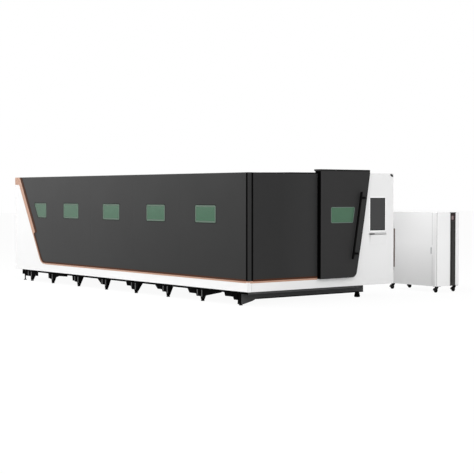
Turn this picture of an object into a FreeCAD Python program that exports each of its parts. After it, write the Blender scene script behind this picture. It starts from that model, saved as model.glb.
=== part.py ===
"""Enclosed fiber laser cutting machine with its laser source cabinet, in millimetres.

The machine is modelled with the end face (door and console) on the plane x = 0, the long
windowed side on y = 0 and the plane that heights are measured from on z = 0.  Everything is
then moved so that the origin lies on the floor, under the middle of the whole object.
"""
import FreeCAD, Part
import math
import os

Vector = FreeCAD.Vector

# ---------------------------------------------------------------- driving dimensions
# Enclosure
floor_level = -34.0
enclosure_length = 8280.0
enclosure_width = 2640.0
roof_height = 2212.0
skirt_bottom = 205.0
accent_bottom = 366.0
accent_height = 24.0
accent_proud = 3.0
accent_depth = 18.0
sheet = 2.0
panel_depth = 35.0
seam = 2.0
fit_gap = 0.3

# Corner post between the long side and the end face
corner_face = 76.0
corner_return = 8.0
corner_radius = 5.0
corner_groove = 30.0
side_groove = 44.0
corner_seal = 6.0
skirt_groove = 5.0

# Windows of the long side
window_width = 610.0
window_height = 305.0
window_sill = 1350.0
window_radius = 25.0
first_window = 1198.0
window_count = 4
tail_window_setback = 1401.0
tail_window_gap = 1028.0
tail_window_width = 541.0
glazing_rim = 8.0
pane_thickness = 5.0
pane_recess = 1.0

# Slanted tail of the long side
tail_slope = 0.575
tail_top_setback = 89.0
accent_wide = 131.0
accent_narrow = 45.0
accent_step_height = 1040.0
tail_corner_radius = 200.0
tail_cap_height = 160.0
tail_panel_length = 1380.0

# Base
base_rail_width = 100.0
base_rail_height = 120.0
base_rail_bottom = 165.0
base_rail_wall = 6.0
base_tail_setback = 245.0
tail_block_length = 140.0
tail_block_height = 67.0
tail_foot_inset = 34.0
tail_foot_radius = 13.0
end_beam_bottom = 60.0
end_beam_depth = 88.0
end_beam_setback = 240.0
end_beam_side = 50.0
end_beam_overhang = 242.0
end_beam_wall = 8.0
end_wedge_length = 310.0
end_wedge_nose = 245.0
end_wedge_nose_height = 32.0
end_foot_side = 132.0
threshold_bottom = 195.0
threshold_depth = 100.0
station_count = 8
station_pitch = 1071.0
last_station_setback = 650.0
sleeper_width = 100.0
sleeper_height = 70.0
sleeper_wall = 6.0
bracket_reaches = [416.0, 432.0, 394.0, 323.0, 302.0, 231.0, 170.0]
bracket_slopes = [26.0, 62.0, 80.0, 30.0, 140.0, 14.0, 10.0]
bracket_shoulders = [166.0, 175.0, 175.0, 145.0, 150.0, 130.0, 110.0]
bracket_lips = [102.0, 90.0, 95.0, 95.0, 67.0, 72.0, 66.0]
bracket_steps_up = [55.0, 49.0, 56.0, 34.0, 62.0, 54.0, 55.0]
bracket_fars = [60.0, 60.0, 60.0, 122.0, 44.0, 75.0, 60.0]
bracket_braces = {1: [(60.0, 58.0), (560.0, 152.0)], 6: [(84.0, 80.0), (290.0, 132.0), (615.0, 138.0)]}
bracket_drop = 20.0
bracket_thickness = 12.0
bracket_near = 36.0
bracket_foot = 20.0
bracket_foot_depth = 46.0
bracket_foot_height = -14.0
bracket_flange_width = 9.0
bracket_flange_proud = 12.0
last_bracket_reach = 250.0
last_bracket_drop = 100.0
last_bracket_wing = 290.0
last_bracket_wing_height = 84.0
foot_pad = 46.0
end_foot_pad = 70.0
foot_pad_height = 12.0
foot_neck = 36.0
foot_cone_height = 17.0
foot_stud_radius = 16.0
far_foot_width = 36.0

# Bed and slat table
bed_side = 230.0
bed_beam_width = 200.0
bed_top = 900.0
bed_wall = 12.0
bed_front_setback = 260.0
bed_tail_setback = 380.0
cross_member_count = 6
cross_member_size = 120.0
cross_member_bottom = 300.0
cross_member_wall = 6.0
ledger_bottom = 690.0
ledger_width = 62.0
ledger_thickness = 8.0
comb_thickness = 8.0
comb_height = 70.0
slat_count = 32
first_slat = 1150.0
last_slat_setback = 930.0
slat_thickness = 4.0
slat_bottom = 735.0
slat_height = 95.0
slat_tooth = 22.0
slat_tooth_count = 11
slat_slot_gap = 0.5
rail_width = 30.0
rail_height = 30.0
rail_inset = 70.0
rack_size = 25.0
rack_inset = 150.0

# Enclosure frame
post_size = 60.0
post_wall = 3.0
roof_pan_depth = 36.0
roof_drop = 6.0
roof_setback = 112.0

# Doorway and sliding door
door_left_inset = 1094.0
door_bottom = 365.0
door_rise = 37.0
door_foot_inset = 248.0
door_slope = 0.1772
door_corner_radius = 120.0
door_gap = 14.0
door_thickness = 78.0
door_lip = 20.0
door_travel = 1150.0
doorway_inset = 220.0
cap_height = 31.0
cap_overhang = 6.0
cap_back = 80.0
cap_sheet = 3.0
track_width = 70.0
track_wall = 5.0
track_lip = 20.0
track_height = 71.0
track_spare = 4.0
hanger_thickness = 8.0
hanger_length = 120.0
hanger_insets = (14.0, 724.0)
shoe_height = 44.0
door_window_inset = 237.0
door_window_bottom = 1338.0
door_window_top = 1620.0
door_window_width = 527.0
door_window_radius = 30.0
door_pane_margin = 15.0
handle_top_inset = 917.0
handle_top_height = 1890.0
handle_foot_inset = 705.0
handle_foot_height = 695.0
handle_width = 32.0
handle_thickness = 25.0
handle_standoff = 48.0
handle_arm_heights = (1780.0, 792.0)
handle_arm_height = 36.0
handle_arm_thickness = 12.0
handle_foot = 36.0
handle_edge_gap = 76.0

# Loading end
column_width = 285.0
gate_bottom = 690.0
gate_top = 1250.0
gate_thickness = 38.0
gate_overlap = 34.0
gate_travel = 520.0
gate_clearance = 1.0
guide_lip = 10.0
guide_cover = 24.0
guide_arm = 60.0

# Console
console_width = 770.0
console_depth = 800.0
console_sheet = 2.5
console_rise = 14.0
fairing_depth = 46.0
fairing_foot_depth = 6.0
fairing_top_gap = 5.0
fairing_height = 165.0
fairing_taper = 34.0
monitor_inset = 180.0
monitor_width = 380.0
monitor_bottom = 1187.0
monitor_height = 593.0
monitor_depth = 45.0
monitor_recess = 1.5
monitor_bezel = 14.0
screen_recess = 2.5
tray_inset = 155.0
tray_width = 430.0
tray_bottom = 1112.0
tray_height = 28.0
tray_depth = 338.0
tray_lip = 8.0
tray_floor = 4.0
tray_slot_gap = 3.0
tray_travel = 280.0
ledge_width = 40.0
ledge_thickness = 5.0
keyboard_width = 390.0
keyboard_depth = 140.0
keyboard_height = 20.0
keyboard_front = 12.0
keyboard_setback = 40.0
rack_plate = 12.0
rack_bottom = 320.0
rack_top_gap = 320.0
rack_end_gap = 90.0
device_rows = 4
device_depth = 120.0
service_frame = 40.0
service_door_depth = 20.0
service_door_gap = 2.0
hinge_radius = 7.0
hinge_pin_radius = 3.5
hinge_pin_gap = 0.05
hinge_knuckle = 40.0
hinge_inset = 220.0
latch_boss_radius = 14.0
latch_shaft_radius = 8.0
latch_shaft_gap = 0.1
latch_length = 125.0
latch_width = 22.0
latch_thickness = 9.0
latch_cam = 24.0
latch_cam_thickness = 4.0
latch_reach = 10.0
console_latch_side = 60.0
console_latch_height = 1150.0

# Gantry and head
gantry_rest = 700.0
gantry_end_setback = 1380.0
beam_width = 240.0
beam_height = 280.0
beam_wall = 10.0
beam_chamfer = 30.0
carriage_length = 440.0
carriage_side = 245.0
carriage_width = 150.0
carriage_plate = 40.0
block_length = 90.0
block_width = 60.0
block_height = 57.0
running_gap = 0.4
motor_size = 110.0
motor_height = 190.0
motor_radius = 45.0
motor_flange = 30.0
motor_setback = 50.0
y_rail_width = 22.0
y_rail_height = 20.0
y_rail_inset = 55.0
y_rail_margin = 60.0
head_width = 240.0
head_plate = 20.0
head_side_clearance = 600.0
z_plate_width = 130.0
z_plate = 18.0
z_plate_height = 300.0
z_rail = 16.0
z_travel_up = 90.0
z_travel_down = 15.0
z_motor_radius = 40.0
z_motor_height = 150.0
cutter_width = 90.0
cutter_depth = 100.0
cutter_height = 180.0
cutter_cone_height = 70.0
cutter_cone_tip = 14.0
cutter_shoulder = 3.0
nozzle_radius = 12.0
nozzle_tip_radius = 3.0
nozzle_height = 28.0
nozzle_tip = 875.0

# Laser source cabinet
cabinet_left = -1296.0
cabinet_width = 1280.0
hinge_column = 125.0
cabinet_distance = 1196.0
cabinet_depth = 610.0
cabinet_bottom = 85.0
cabinet_top = 1498.0
cabinet_sheet = 2.0
cabinet_column = 60.0
cabinet_frame = 45.0
cabinet_door_thickness = 18.0
cabinet_door_gap = 4.0
cabinet_latch_side = 149.0
cabinet_latch_height = 816.0
cabinet_hinge_radius = 6.0
cabinet_hinge_pin = 3.0
cabinet_hinge_offset = 4.0
strip_start = 365.0
strip_width = 133.0
strip_proud = 12.0
strip_flare = 14.0
strip_flare_height = 18.0
display_height = 135.0
display_margin = 12.0
display_drop = 25.0
display_thickness = 4.0
strip_groove_count = 5
strip_groove_depth = 5.0
strip_groove_margin = 60.0
trim_width = 24.0
trim_bottom = 411.0
trim_top = 1170.0
trim_thickness = 8.0
source_end_gap = 225.0
source_front_gap = 100.0
source_height = 430.0
source_margin = 60.0
vent_slot_height = 8.0
vent_slot_length = 150.0
vent_slot_pitch = 24.0
vent_slot_rows = 7
vent_margin = 150.0

# Casters
caster_inset = 60.0
caster_plate = 100.0
caster_plate_thickness = 6.0
caster_wheel_radius = 41.0
caster_wheel_width = 36.0
caster_trail = 28.0
caster_fork_gap = 2.0
caster_fork_wall = 4.0
caster_fork_width = 56.0
caster_race_radius = 32.0
caster_race_height = 9.0
caster_axle_radius = 5.0
caster_axle_head = 3.0
caster_bore_gap = 0.08
caster_kingpin_radius = 6.0

# ---------------------------------------------------------------- worked out from the above
door_left = enclosure_width - door_left_inset
door_foot_right = enclosure_width - door_foot_inset
doorway_right = enclosure_width - doorway_inset
door_top = roof_height + door_rise
track_start = door_left - door_travel + track_spare
hanger_ends = [door_left + place for place in hanger_insets]
door_window_left = door_left + door_window_inset
handle_top = (door_left + handle_top_inset, handle_top_height)
handle_bottom = (door_left + handle_foot_inset, handle_foot_height)
tail_window_start = enclosure_length - tail_window_setback
window_pitch = (tail_window_start - tail_window_gap - first_window) / (window_count - 1)
tail_top = enclosure_length - tail_top_setback
tail_panel_foot = enclosure_length - tail_panel_length
first_station = end_beam_setback + end_beam_depth / 2
slat_pitch = (enclosure_length - last_slat_setback - first_slat) / (slat_count - 1)
gantry_travel = enclosure_length - gantry_end_setback - gantry_rest
head_rest = enclosure_width / 2
head_travel = head_rest - head_side_clearance
panel_bottom = accent_bottom + accent_height
panel_start = corner_return + side_groove
side_seams = [first_window + (index + 0.5) * window_pitch for index in range(window_count)]
frame_top = roof_height - roof_drop - roof_pan_depth
rail_top_z = frame_top
post_top = frame_top - post_size
post_foot = base_rail_bottom + base_rail_height
base_start = -(panel_depth + fit_gap)
base_end = -(enclosure_length - base_tail_setback)
console_top = roof_height + console_rise
stations = [first_station + index * station_pitch for index in range(station_count - 1)]
stations.append(enclosure_length - last_station_setback)
console_left = enclosure_width
console_right = console_left + console_width
monitor_left = console_left + monitor_inset
tray_left = console_left + tray_inset
rack_height = roof_height - rack_top_gap - rack_bottom
rack_width = console_depth - 2 * rack_end_gap
cabinet_front = console_right + cabinet_distance
door_face = door_gap + door_thickness
cabinet_right = cabinet_left + cabinet_width
cabinet_hinge_side = cabinet_left + hinge_column
cabinet_back = cabinet_front + cabinet_depth
cabinet_shell_front = cabinet_front + cabinet_door_thickness + fit_gap
source_width = cabinet_width - source_margin - source_end_gap
source_depth = cabinet_depth - source_margin - source_front_gap

nodes = {}
skirts = []
axes = {}


# ---------------------------------------------------------------- shapes
def block(low, high):
    """A box between two opposite corners."""
    size = [high[k] - low[k] for k in range(3)]
    return Part.makeBox(size[0], size[1], size[2], Vector(*low))


def rounded_face(points, radii):
    """A planar face through points, with an arc in each corner that has a radius."""
    edges = []
    tangents = []
    count = len(points)
    for index, corner in enumerate(points):
        radius = radii[index]
        if not radius:
            tangents.append((corner, None, corner))
            continue
        back = (points[index - 1] - corner).normalize()
        ahead = (points[(index + 1) % count] - corner).normalize()
        half = back.getAngle(ahead) / 2
        middle = (back + ahead).normalize()
        reach = radius / math.tan(half)
        peak = corner + middle * (radius / math.sin(half) - radius)
        tangents.append((corner + back * reach, peak, corner + ahead * reach))
    for index, (start, peak, end) in enumerate(tangents):
        if peak is not None:
            edges.append(Part.Arc(start, peak, end).toShape())
        following = tangents[(index + 1) % count][0]
        if end.distanceToPoint(following) > 1e-6:
            edges.append(Part.LineSegment(end, following).toShape())
    return Part.Face(Part.Wire(edges))


def plate(axis, outline, start, end, radii=None):
    """A flat plate: its outline in the plane across an axis, between two places along it."""
    radii = radii or [0] * len(outline)
    place = {
        "x": lambda a, b: Vector(start, a, b),
        "y": lambda a, b: Vector(a, start, b),
        "z": lambda a, b: Vector(a, b, start),
    }[axis]
    along = {"x": Vector(1, 0, 0), "y": Vector(0, 1, 0), "z": Vector(0, 0, 1)}[axis]
    face = rounded_face([place(*point) for point in outline], radii)
    return face.extrude(along * (end - start))


def rectangle(left, bottom, right, top):
    """The four corners of a rectangle, counter-clockwise."""
    return [(left, bottom), (right, bottom), (right, top), (left, top)]


def turning(outline):
    """+1 where the outline turns inwards at a corner and -1 where it turns back, for each corner."""
    area = sum(a[0] * b[1] - b[0] * a[1] for a, b in zip(outline, outline[1:] + outline[:1]))
    signs = []
    for index, corner in enumerate(outline):
        before = outline[index - 1]
        after = outline[(index + 1) % len(outline)]
        cross = ((corner[0] - before[0]) * (after[1] - corner[1])
                 - (corner[1] - before[1]) * (after[0] - corner[0]))
        signs.append(1 if cross * area > 0 else -1)
    return signs, (1 if area > 0 else -1)


def inset(outline, distance):
    """The outline moved inwards by a distance along every edge."""
    side = turning(outline)[1]
    moved = []
    for index, corner in enumerate(outline):
        before = outline[index - 1]
        after = outline[(index + 1) % len(outline)]
        first = math.dist(before, corner)
        second = math.dist(corner, after)
        normal_a = (-(corner[1] - before[1]) / first * side, (corner[0] - before[0]) / first * side)
        normal_b = (-(after[1] - corner[1]) / second * side, (after[0] - corner[0]) / second * side)
        scale = distance / (1 + normal_a[0] * normal_b[0] + normal_a[1] * normal_b[1])
        moved.append((corner[0] + (normal_a[0] + normal_b[0]) * scale,
                      corner[1] + (normal_a[1] + normal_b[1]) * scale))
    return moved


def inset_radii(outline, radii, distance):
    """Corner radii that keep the wall even when the outline moves inwards."""
    signs = turning(outline)[0]
    return [max(radius - sign * distance, 0.5) if radius else 0
            for radius, sign in zip(radii, signs)]


def pan(axis, outline, face, inward, radii=None, wall=None):
    """A folded sheet panel: a flat skin on the plane `face`, and flanges turned back `inward`."""
    wall = wall or sheet
    radii = radii or [0] * len(outline)
    step = math.copysign(wall, inward)
    body = plate(axis, outline, face, face + inward, radii)
    hollow = plate(axis, inset(outline, wall), face + step, face + inward + step,
                   inset_radii(outline, radii, wall))
    return body.cut(hollow)


def tube(axis, low, high, wall):
    """A rectangular tube, open at both ends of its axis."""
    index = "xyz".index(axis)
    inner_low = [value + (0 if k == index else wall) for k, value in enumerate(low)]
    inner_high = [value - (0 if k == index else wall) for k, value in enumerate(high)]
    return block(low, high).cut(block(inner_low, inner_high))


def cylinder(radius, start, end):
    """A round bar between two points."""
    along = Vector(*end) - Vector(*start)
    return Part.makeCylinder(radius, along.Length, Vector(*start), along)


def across(shape):
    """The same shape on the far long side."""
    return shape.mirror(Vector(0, enclosure_width / 2, 0), Vector(0, 1, 0))


def fuse(shapes):
    """One solid from shapes that meet."""
    return shapes[0].fuse(shapes[1:]).removeSplitter()


def group(shapes):
    """Separate solids that share a node."""
    return Part.makeCompound(shapes)


# ---------------------------------------------------------------- base
def make_base():
    """Base rails, the beam across the end, cross sleepers, foot brackets and levelling feet."""
    rail_side = panel_depth + base_rail_width
    far_side = enclosure_width - rail_side
    rail = tube("x", (base_end, panel_depth, base_rail_bottom),
                (base_start, rail_side, post_foot), base_rail_wall)
    nodes["base_rails"] = group([rail, across(rail)])
    nodes["end_beam"] = make_end_beam()
    sleepers = [tube("y", (base_start - threshold_depth, rail_side, threshold_bottom),
                     (base_start, far_side, post_foot), sleeper_wall)]
    brackets = []
    feet = []
    foot_y = panel_depth + bracket_foot_depth / 2
    for number, station in enumerate(stations):
        sleepers.append(tube("y", (-station - sleeper_width / 2, rail_side, base_rail_bottom),
                             (-station + sleeper_width / 2, far_side,
                              base_rail_bottom + sleeper_height), sleeper_wall))
        if number == 0:
            brackets.append(make_corner_bracket(station))
            feet.append(make_foot(-station, end_beam_side + foot_pad / 2, bracket_foot_height))
            continue
        bracket = make_bracket(station, number)
        brackets += [bracket, across(bracket)]
        foot = make_foot(-station, foot_y, bracket_foot_height)
        feet += [foot, across(foot)]
    feet.append(make_foot(-first_station, enclosure_width + end_foot_side, bracket_foot_height, end_foot_pad))
    tail_block = block((base_end, panel_depth, base_rail_bottom - tail_block_height),
                       (base_end + tail_block_length, rail_side, base_rail_bottom))
    tail_foot = make_foot(base_end + tail_foot_inset, panel_depth + base_rail_width / 2,
                          base_rail_bottom - tail_block_height, foot_pad, tail_foot_radius)
    brackets += [tail_block, across(tail_block)]
    feet += [tail_foot, across(tail_foot)]
    nodes["sleepers"] = group(sleepers)
    nodes["foot_brackets"] = group(brackets)
    nodes["levelling_feet"] = group(feet)


def make_end_beam():
    """The tube across the end under both rails, with a wedge and a leg down to its two feet."""
    back = -(end_beam_setback + end_beam_depth)
    front = -end_beam_setback
    left = end_beam_side
    right = enclosure_width + end_beam_overhang
    top = base_rail_bottom - fit_gap
    beam = tube("y", (back, left, end_beam_bottom), (front, right, top), end_beam_wall)
    near = plate("x", [(left, bracket_foot_height), (left + foot_pad, bracket_foot_height),
                       (left + end_wedge_nose, end_wedge_nose_height),
                       (left + end_wedge_length, end_beam_bottom), (left, end_beam_bottom)], back, front)
    foot_y = enclosure_width + end_foot_side
    leg = block((-first_station - far_foot_width / 2, foot_y - far_foot_width / 2, bracket_foot_height),
                (-first_station + far_foot_width / 2, foot_y + far_foot_width / 2, end_beam_bottom))
    caps = [block((back, side, end_beam_bottom), (front, side + end_beam_wall, top))
            for side in (left, right - end_beam_wall)]
    return fuse([beam, near, leg] + caps)


def bracket_steps(x, number):
    """The stepped lower edge of a foot bracket, from its tail to the foot."""
    tail = x - bracket_reaches[number]
    shoulder = x - bracket_shoulders[number]
    lip = bracket_lips[number]
    step = bracket_steps_up[number]
    return [(tail, base_rail_bottom), (tail + bracket_slopes[number], lip), (shoulder, lip),
            (shoulder + bracket_drop, step), (x - bracket_near, step)]


def bracket_flange(x, bottom):
    """An upright stiffener on the outer face of a foot bracket."""
    return block((x, panel_depth - bracket_flange_proud, bottom),
                 (x + bracket_flange_width, panel_depth, base_rail_bottom))


def bracket_flanges(x, number):
    """The two stiffeners at the steps of a foot bracket."""
    return [bracket_flange(x - bracket_shoulders[number] - bracket_flange_width, bracket_lips[number]),
            bracket_flange(x - bracket_near - bracket_flange_width, bracket_steps_up[number])]


def make_bracket(station, number):
    """A foot bracket under a base rail: a stepped plate, and a wedge that tapers to its foot."""
    x = -station
    front = panel_depth
    if number == station_count - 1:
        low = base_rail_bottom - last_bracket_drop
        far = last_bracket_wing / 3
        ramp = [(x - last_bracket_reach, base_rail_bottom), (x - last_bracket_reach, low),
                (x - bracket_near, low)]
        tail = [(x + far, last_bracket_wing_height), (x + last_bracket_wing, last_bracket_wing_height),
                (x + last_bracket_wing, base_rail_bottom)]
        flanges = [bracket_flange(x - last_bracket_reach / 2, low)]
    else:
        far = bracket_fars[number]
        ramp = bracket_steps(x, number)
        tail = [(x + reach, height) for reach, height in bracket_braces.get(number, [])]
        tail.append((tail[-1][0] + bracket_drop if tail else x + far, base_rail_bottom))
        flanges = bracket_flanges(x, number)
    sole = [(x - bracket_foot, bracket_foot_height), (x + bracket_foot, bracket_foot_height)]
    side = plate("y", ramp + sole + tail, front, front + bracket_thickness)
    top = rectangle(x - bracket_near, front, x + far, front + base_rail_width)
    foot = rectangle(x - bracket_foot, front, x + bracket_foot, front + bracket_foot_depth)
    leg = Part.makeLoft([Part.makePolygon([Vector(a, b, height) for a, b in outline + outline[:1]])
                         for outline, height in ((foot, bracket_foot_height), (top, base_rail_bottom))],
                        True, True)
    rib_x = ramp[1][0] + bracket_flange_width
    rib = plate("x", [(front + bracket_thickness, ramp[1][1]), (front + base_rail_width, ramp[1][1]),
                      (front + base_rail_width, base_rail_bottom),
                      (front + bracket_thickness, base_rail_bottom)],
                rib_x, rib_x + bracket_flange_width)
    return fuse([side, leg, rib] + flanges)


def make_corner_bracket(station):
    """The plate that ties the near end of the end beam to the base rail."""
    x = -station
    half = end_beam_depth / 2
    side = plate("y", bracket_steps(x, 0) + [
        (x - half, bracket_foot_height), (x + half, bracket_foot_height), (x + half, base_rail_bottom)],
        panel_depth, panel_depth + bracket_thickness)
    return fuse([side] + bracket_flanges(x, 0))


def make_foot(x, y, top, width=foot_pad, stud_radius=foot_stud_radius):
    """A levelling foot: a square pad that narrows to a hexagonal stud."""
    half_pad = width / 2
    pad_top = floor_level + foot_pad_height
    cone_top = floor_level + foot_cone_height
    pad = block((x - half_pad, y - half_pad, floor_level), (x + half_pad, y + half_pad, pad_top))
    rings = []
    for half, height in ((half_pad, pad_top), (foot_neck / 2, cone_top)):
        rings.append(Part.makePolygon([Vector(x + sx * half, y + sy * half, height)
                                       for sx, sy in ((-1, -1), (1, -1), (1, 1), (-1, 1), (-1, -1))]))
    cone = Part.makeLoft(rings, True, True)
    corners = [(x + stud_radius * math.cos(math.radians(60 * k)),
                y + stud_radius * math.sin(math.radians(60 * k))) for k in range(6)]
    stud = plate("z", corners, cone_top, top)
    return fuse([pad, cone, stud])


# ---------------------------------------------------------------- bed and slat table
def make_bed():
    """Bed beams on the sleepers, cross members between them, rails and racks on top."""
    start = -(enclosure_length - bed_tail_setback)
    end = -bed_front_setback
    inner = bed_side + bed_beam_width
    sleeper_top = base_rail_bottom + sleeper_height
    beam = tube("x", (start, bed_side, sleeper_top), (end, inner, bed_top), bed_wall)
    members = []
    for index in range(cross_member_count):
        x = start + (end - start) * (index + 0.5) / cross_member_count
        members.append(tube("y", (x - cross_member_size / 2, inner, cross_member_bottom),
                            (x + cross_member_size / 2, enclosure_width - inner,
                             cross_member_bottom + cross_member_size), cross_member_wall))
    nodes["bed_frame"] = group([beam, across(beam)] + members)
    rail_y = bed_side + rail_inset
    rail = block((start, rail_y, bed_top), (end, rail_y + rail_width, bed_top + rail_height))
    nodes["x_rails"] = group([rail, across(rail)])
    rack_y = bed_side + rack_inset
    rack = block((start, rack_y, bed_top), (end, rack_y + rack_size, bed_top + rack_size))
    nodes["x_racks"] = group([rack, across(rack)])


def make_table():
    """Two ledgers with a slotted comb each, and the saw-tooth slats that stand in the slots."""
    ledger_y = bed_side + bed_beam_width
    comb_y = ledger_y + ledger_width - comb_thickness
    start = -(first_slat + (slat_count - 0.5) * slat_pitch)
    end = -(first_slat - slat_pitch / 2)
    comb_foot = ledger_bottom + ledger_thickness
    comb_top = comb_foot + comb_height
    angle = plate("x", [(ledger_y, ledger_bottom), (ledger_y + ledger_width, ledger_bottom),
                        (ledger_y + ledger_width, comb_foot),
                        (ledger_y + ledger_thickness, comb_foot),
                        (ledger_y + ledger_thickness, comb_top), (ledger_y, comb_top)], start, end)
    slot_half = slat_thickness / 2 + slat_slot_gap
    outline = [(start, comb_foot), (end, comb_foot), (end, comb_top)]
    for index in range(slat_count):
        x = -(first_slat + index * slat_pitch)
        outline += [(x + slot_half, comb_top), (x + slot_half, slat_bottom),
                    (x - slot_half, slat_bottom), (x - slot_half, comb_top)]
    outline.append((start, comb_top))
    comb = plate("y", outline, comb_y, comb_y + comb_thickness)
    ledger = fuse([angle, comb])
    nodes["table_frame"] = group([ledger, across(ledger)])
    near = ledger_y + ledger_thickness + fit_gap
    far = enclosure_width - near
    tooth = (far - near) / slat_tooth_count
    shoulder = slat_bottom + slat_height
    profile = [(near, slat_bottom), (far, slat_bottom)]
    for index in range(slat_tooth_count):
        profile += [(far - index * tooth, shoulder), (far - (index + 0.5) * tooth, shoulder + slat_tooth)]
    profile.append((near, shoulder))
    slats = []
    for index in range(slat_count):
        x = -(first_slat + index * slat_pitch)
        slats.append(plate("x", profile, x - slat_thickness / 2, x + slat_thickness / 2))
    nodes["slats"] = group(slats)


# ---------------------------------------------------------------- enclosure frame
def make_frame():
    """Square tube posts on the base rails, and the rails that tie them together at the roof."""
    near = panel_depth
    far = near + post_size
    end_post = -(panel_depth + post_size)
    places = [(end_post, -panel_depth)]
    places += [(-seam_x - post_size / 2, -seam_x + post_size / 2) for seam_x in side_seams]
    tail_x = -(enclosure_length - panel_depth - gate_thickness - guide_lip - 2 * gate_clearance)
    places.append((tail_x, tail_x + post_size))
    posts = []
    for low, high in places:
        foot = post_foot
        if low < -(enclosure_length - base_tail_setback):
            foot = skirt_bottom
        post = tube("z", (low, near, foot), (high, far, post_top), post_wall)
        posts += [post, across(post)]
    for side in (door_left + seam, doorway_right + fit_gap):
        posts.append(tube("z", (end_post, side, post_foot),
                          (-panel_depth, side + post_size, post_top), post_wall))
    nodes["frame_posts"] = group(posts)
    rail = tube("x", (tail_x, near, post_top), (end_post, far, frame_top), post_wall)
    rails = [rail, across(rail)]
    for low, high in places[1:]:
        rails.append(tube("y", (low, far, post_top), (high, enclosure_width - far, frame_top), post_wall))
    lintel = tube("y", (end_post, near, post_top),
                  (-panel_depth, enclosure_width - near, frame_top - post_size / 2),
                  post_wall)
    rails.append(lintel)
    nodes["frame_rails"] = group(rails)


# ---------------------------------------------------------------- long side
def tail_line(z, width):
    """Where the slanted edge stands at height z, `width` inside the outer edge of the accent."""
    return -(tail_top - width - tail_slope * (roof_height - z))


def livery_outline():
    """Outer outline of the accent band on the long side, and its corner radii."""
    points = [(-panel_start, accent_bottom), (tail_line(accent_bottom, 0), accent_bottom),
              (tail_line(roof_height, 0), roof_height), (-panel_start, roof_height)]
    return points, [0, tail_corner_radius + accent_height, 0, 0]


def dark_outline(right):
    """Outline of the dark area from x = right to the slanted edge, and its corner radii."""
    step_low = accent_step_height - accent_narrow
    points = [(right, panel_bottom), (tail_line(panel_bottom, accent_narrow), panel_bottom),
              (tail_line(step_low, accent_narrow), step_low),
              (tail_line(accent_step_height, accent_wide), accent_step_height),
              (tail_line(roof_height, accent_wide), roof_height), (right, roof_height)]
    return points, [0, tail_corner_radius, 0, 0, 0, 0]


def window_outline(left, width, slant=0.0):
    """Outline of a window whose left side may lean with the slanted edge."""
    return [(-left - width + slant, window_sill), (-left, window_sill),
            (-left, window_sill + window_height), (-left - width, window_sill + window_height)]


def make_long_side():
    """Dark panels with their windows and gaskets, the tail panel, skirt and accent strips."""
    windows = []
    for index in range(window_count):
        left = first_window + index * window_pitch - window_width / 2
        windows.append(window_outline(left, window_width))
    slant = tail_slope * window_height
    windows.append(window_outline(tail_window_start, tail_window_width, slant))
    radii = [window_radius] * 4
    edges = [panel_start] + side_seams
    panels = []
    panes = []
    gaskets = []
    for index, window in enumerate(windows):
        right = -edges[index]
        if index < window_count:
            outline = rectangle(-edges[index + 1], panel_bottom, right, roof_height)
            corner = [0, 0, 0, 0]
        else:
            outline, corner = dark_outline(right)
        outline = [(x, z) for x, z in inset(outline, fit_gap)]
        panel = pan("y", outline, 0, panel_depth, corner)
        hole = inset(window, -glazing_rim)
        hole_radii = inset_radii(window, radii, -glazing_rim)
        panels.append(panel.cut(plate("y", hole, -1, panel_depth, hole_radii)))
        ring = plate("y", inset(hole, fit_gap), -pane_recess, pane_recess + pane_thickness,
                     inset_radii(hole, hole_radii, fit_gap))
        gaskets.append(ring.cut(plate("y", window, -2 * pane_recess, panel_depth, radii)))
        panes.append(plate("y", inset(window, fit_gap), pane_recess, pane_recess + pane_thickness,
                           inset_radii(window, radii, fit_gap)))
    nodes["side_panels"] = group(panels)
    nodes["side_windows"] = group(panes)
    seal_low = panel_bottom + fit_gap
    gaskets.append(block((-panel_start + 2 * fit_gap, corner_seal, seal_low),
                         (-corner_return - fit_gap, 2 * corner_seal, roof_height)))
    gaskets.append(block((-2 * corner_seal, corner_face + fit_gap, seal_low),
                         (-corner_seal, corner_face + corner_groove - fit_gap, roof_height)))
    nodes["gaskets"] = group(gaskets)

    cap_foot = roof_height - tail_cap_height
    cap = plate("y", [(tail_line(cap_foot, 0), cap_foot), (-enclosure_length, cap_foot),
                      (-enclosure_length, roof_height), (tail_line(roof_height, 0), roof_height)],
                -accent_proud, accent_depth)
    livery, livery_radii = livery_outline()
    band = plate("y", livery, -accent_proud, accent_depth, livery_radii)
    dark, dark_radii = dark_outline(-panel_start + 1)
    band = band.cut(plate("y", dark, -2 * accent_proud, panel_depth, dark_radii))
    side_accent = fuse([band, cap])

    tail = [(-enclosure_length, skirt_bottom), (-tail_panel_foot, skirt_bottom),
            (-tail_panel_foot, accent_bottom), (tail_line(accent_bottom, 0), accent_bottom),
            (tail_line(cap_foot, 0), cap_foot), (-enclosure_length, cap_foot)]
    tail_radii = [0, 0, 0, livery_radii[1], 0, 0]
    nodes["tail_panel"] = pan("y", inset(tail, fit_gap), 0, panel_depth, tail_radii)
    skirt = rectangle(-(tail_panel_foot - seam), skirt_bottom, -(corner_return + skirt_groove), accent_bottom)
    skirts.append(pan("y", inset(skirt, fit_gap), 0, panel_depth))

    wrap = corner_shell(-accent_proud, panel_start - fit_gap, corner_face + corner_groove, accent_depth,
                        accent_bottom, panel_bottom)
    end_run = block((-accent_depth, corner_face + corner_groove + fit_gap, accent_bottom),
                    (accent_proud, door_left - fit_gap, panel_bottom))
    trim_left = cabinet_hinge_side + cabinet_door_gap
    cabinet_trim = block((trim_left, cabinet_front - trim_thickness, trim_bottom),
                         (trim_left + trim_width, cabinet_front - fit_gap, trim_top))
    back_run = block((-enclosure_length, enclosure_width - accent_depth, accent_bottom + fit_gap),
                     (-(console_depth + seam), enclosure_width + accent_proud, panel_bottom - fit_gap))
    nodes["accent_strips"] = group([side_accent, wrap, end_run, back_run])
    nodes["cabinet_trim"] = cabinet_trim


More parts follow.
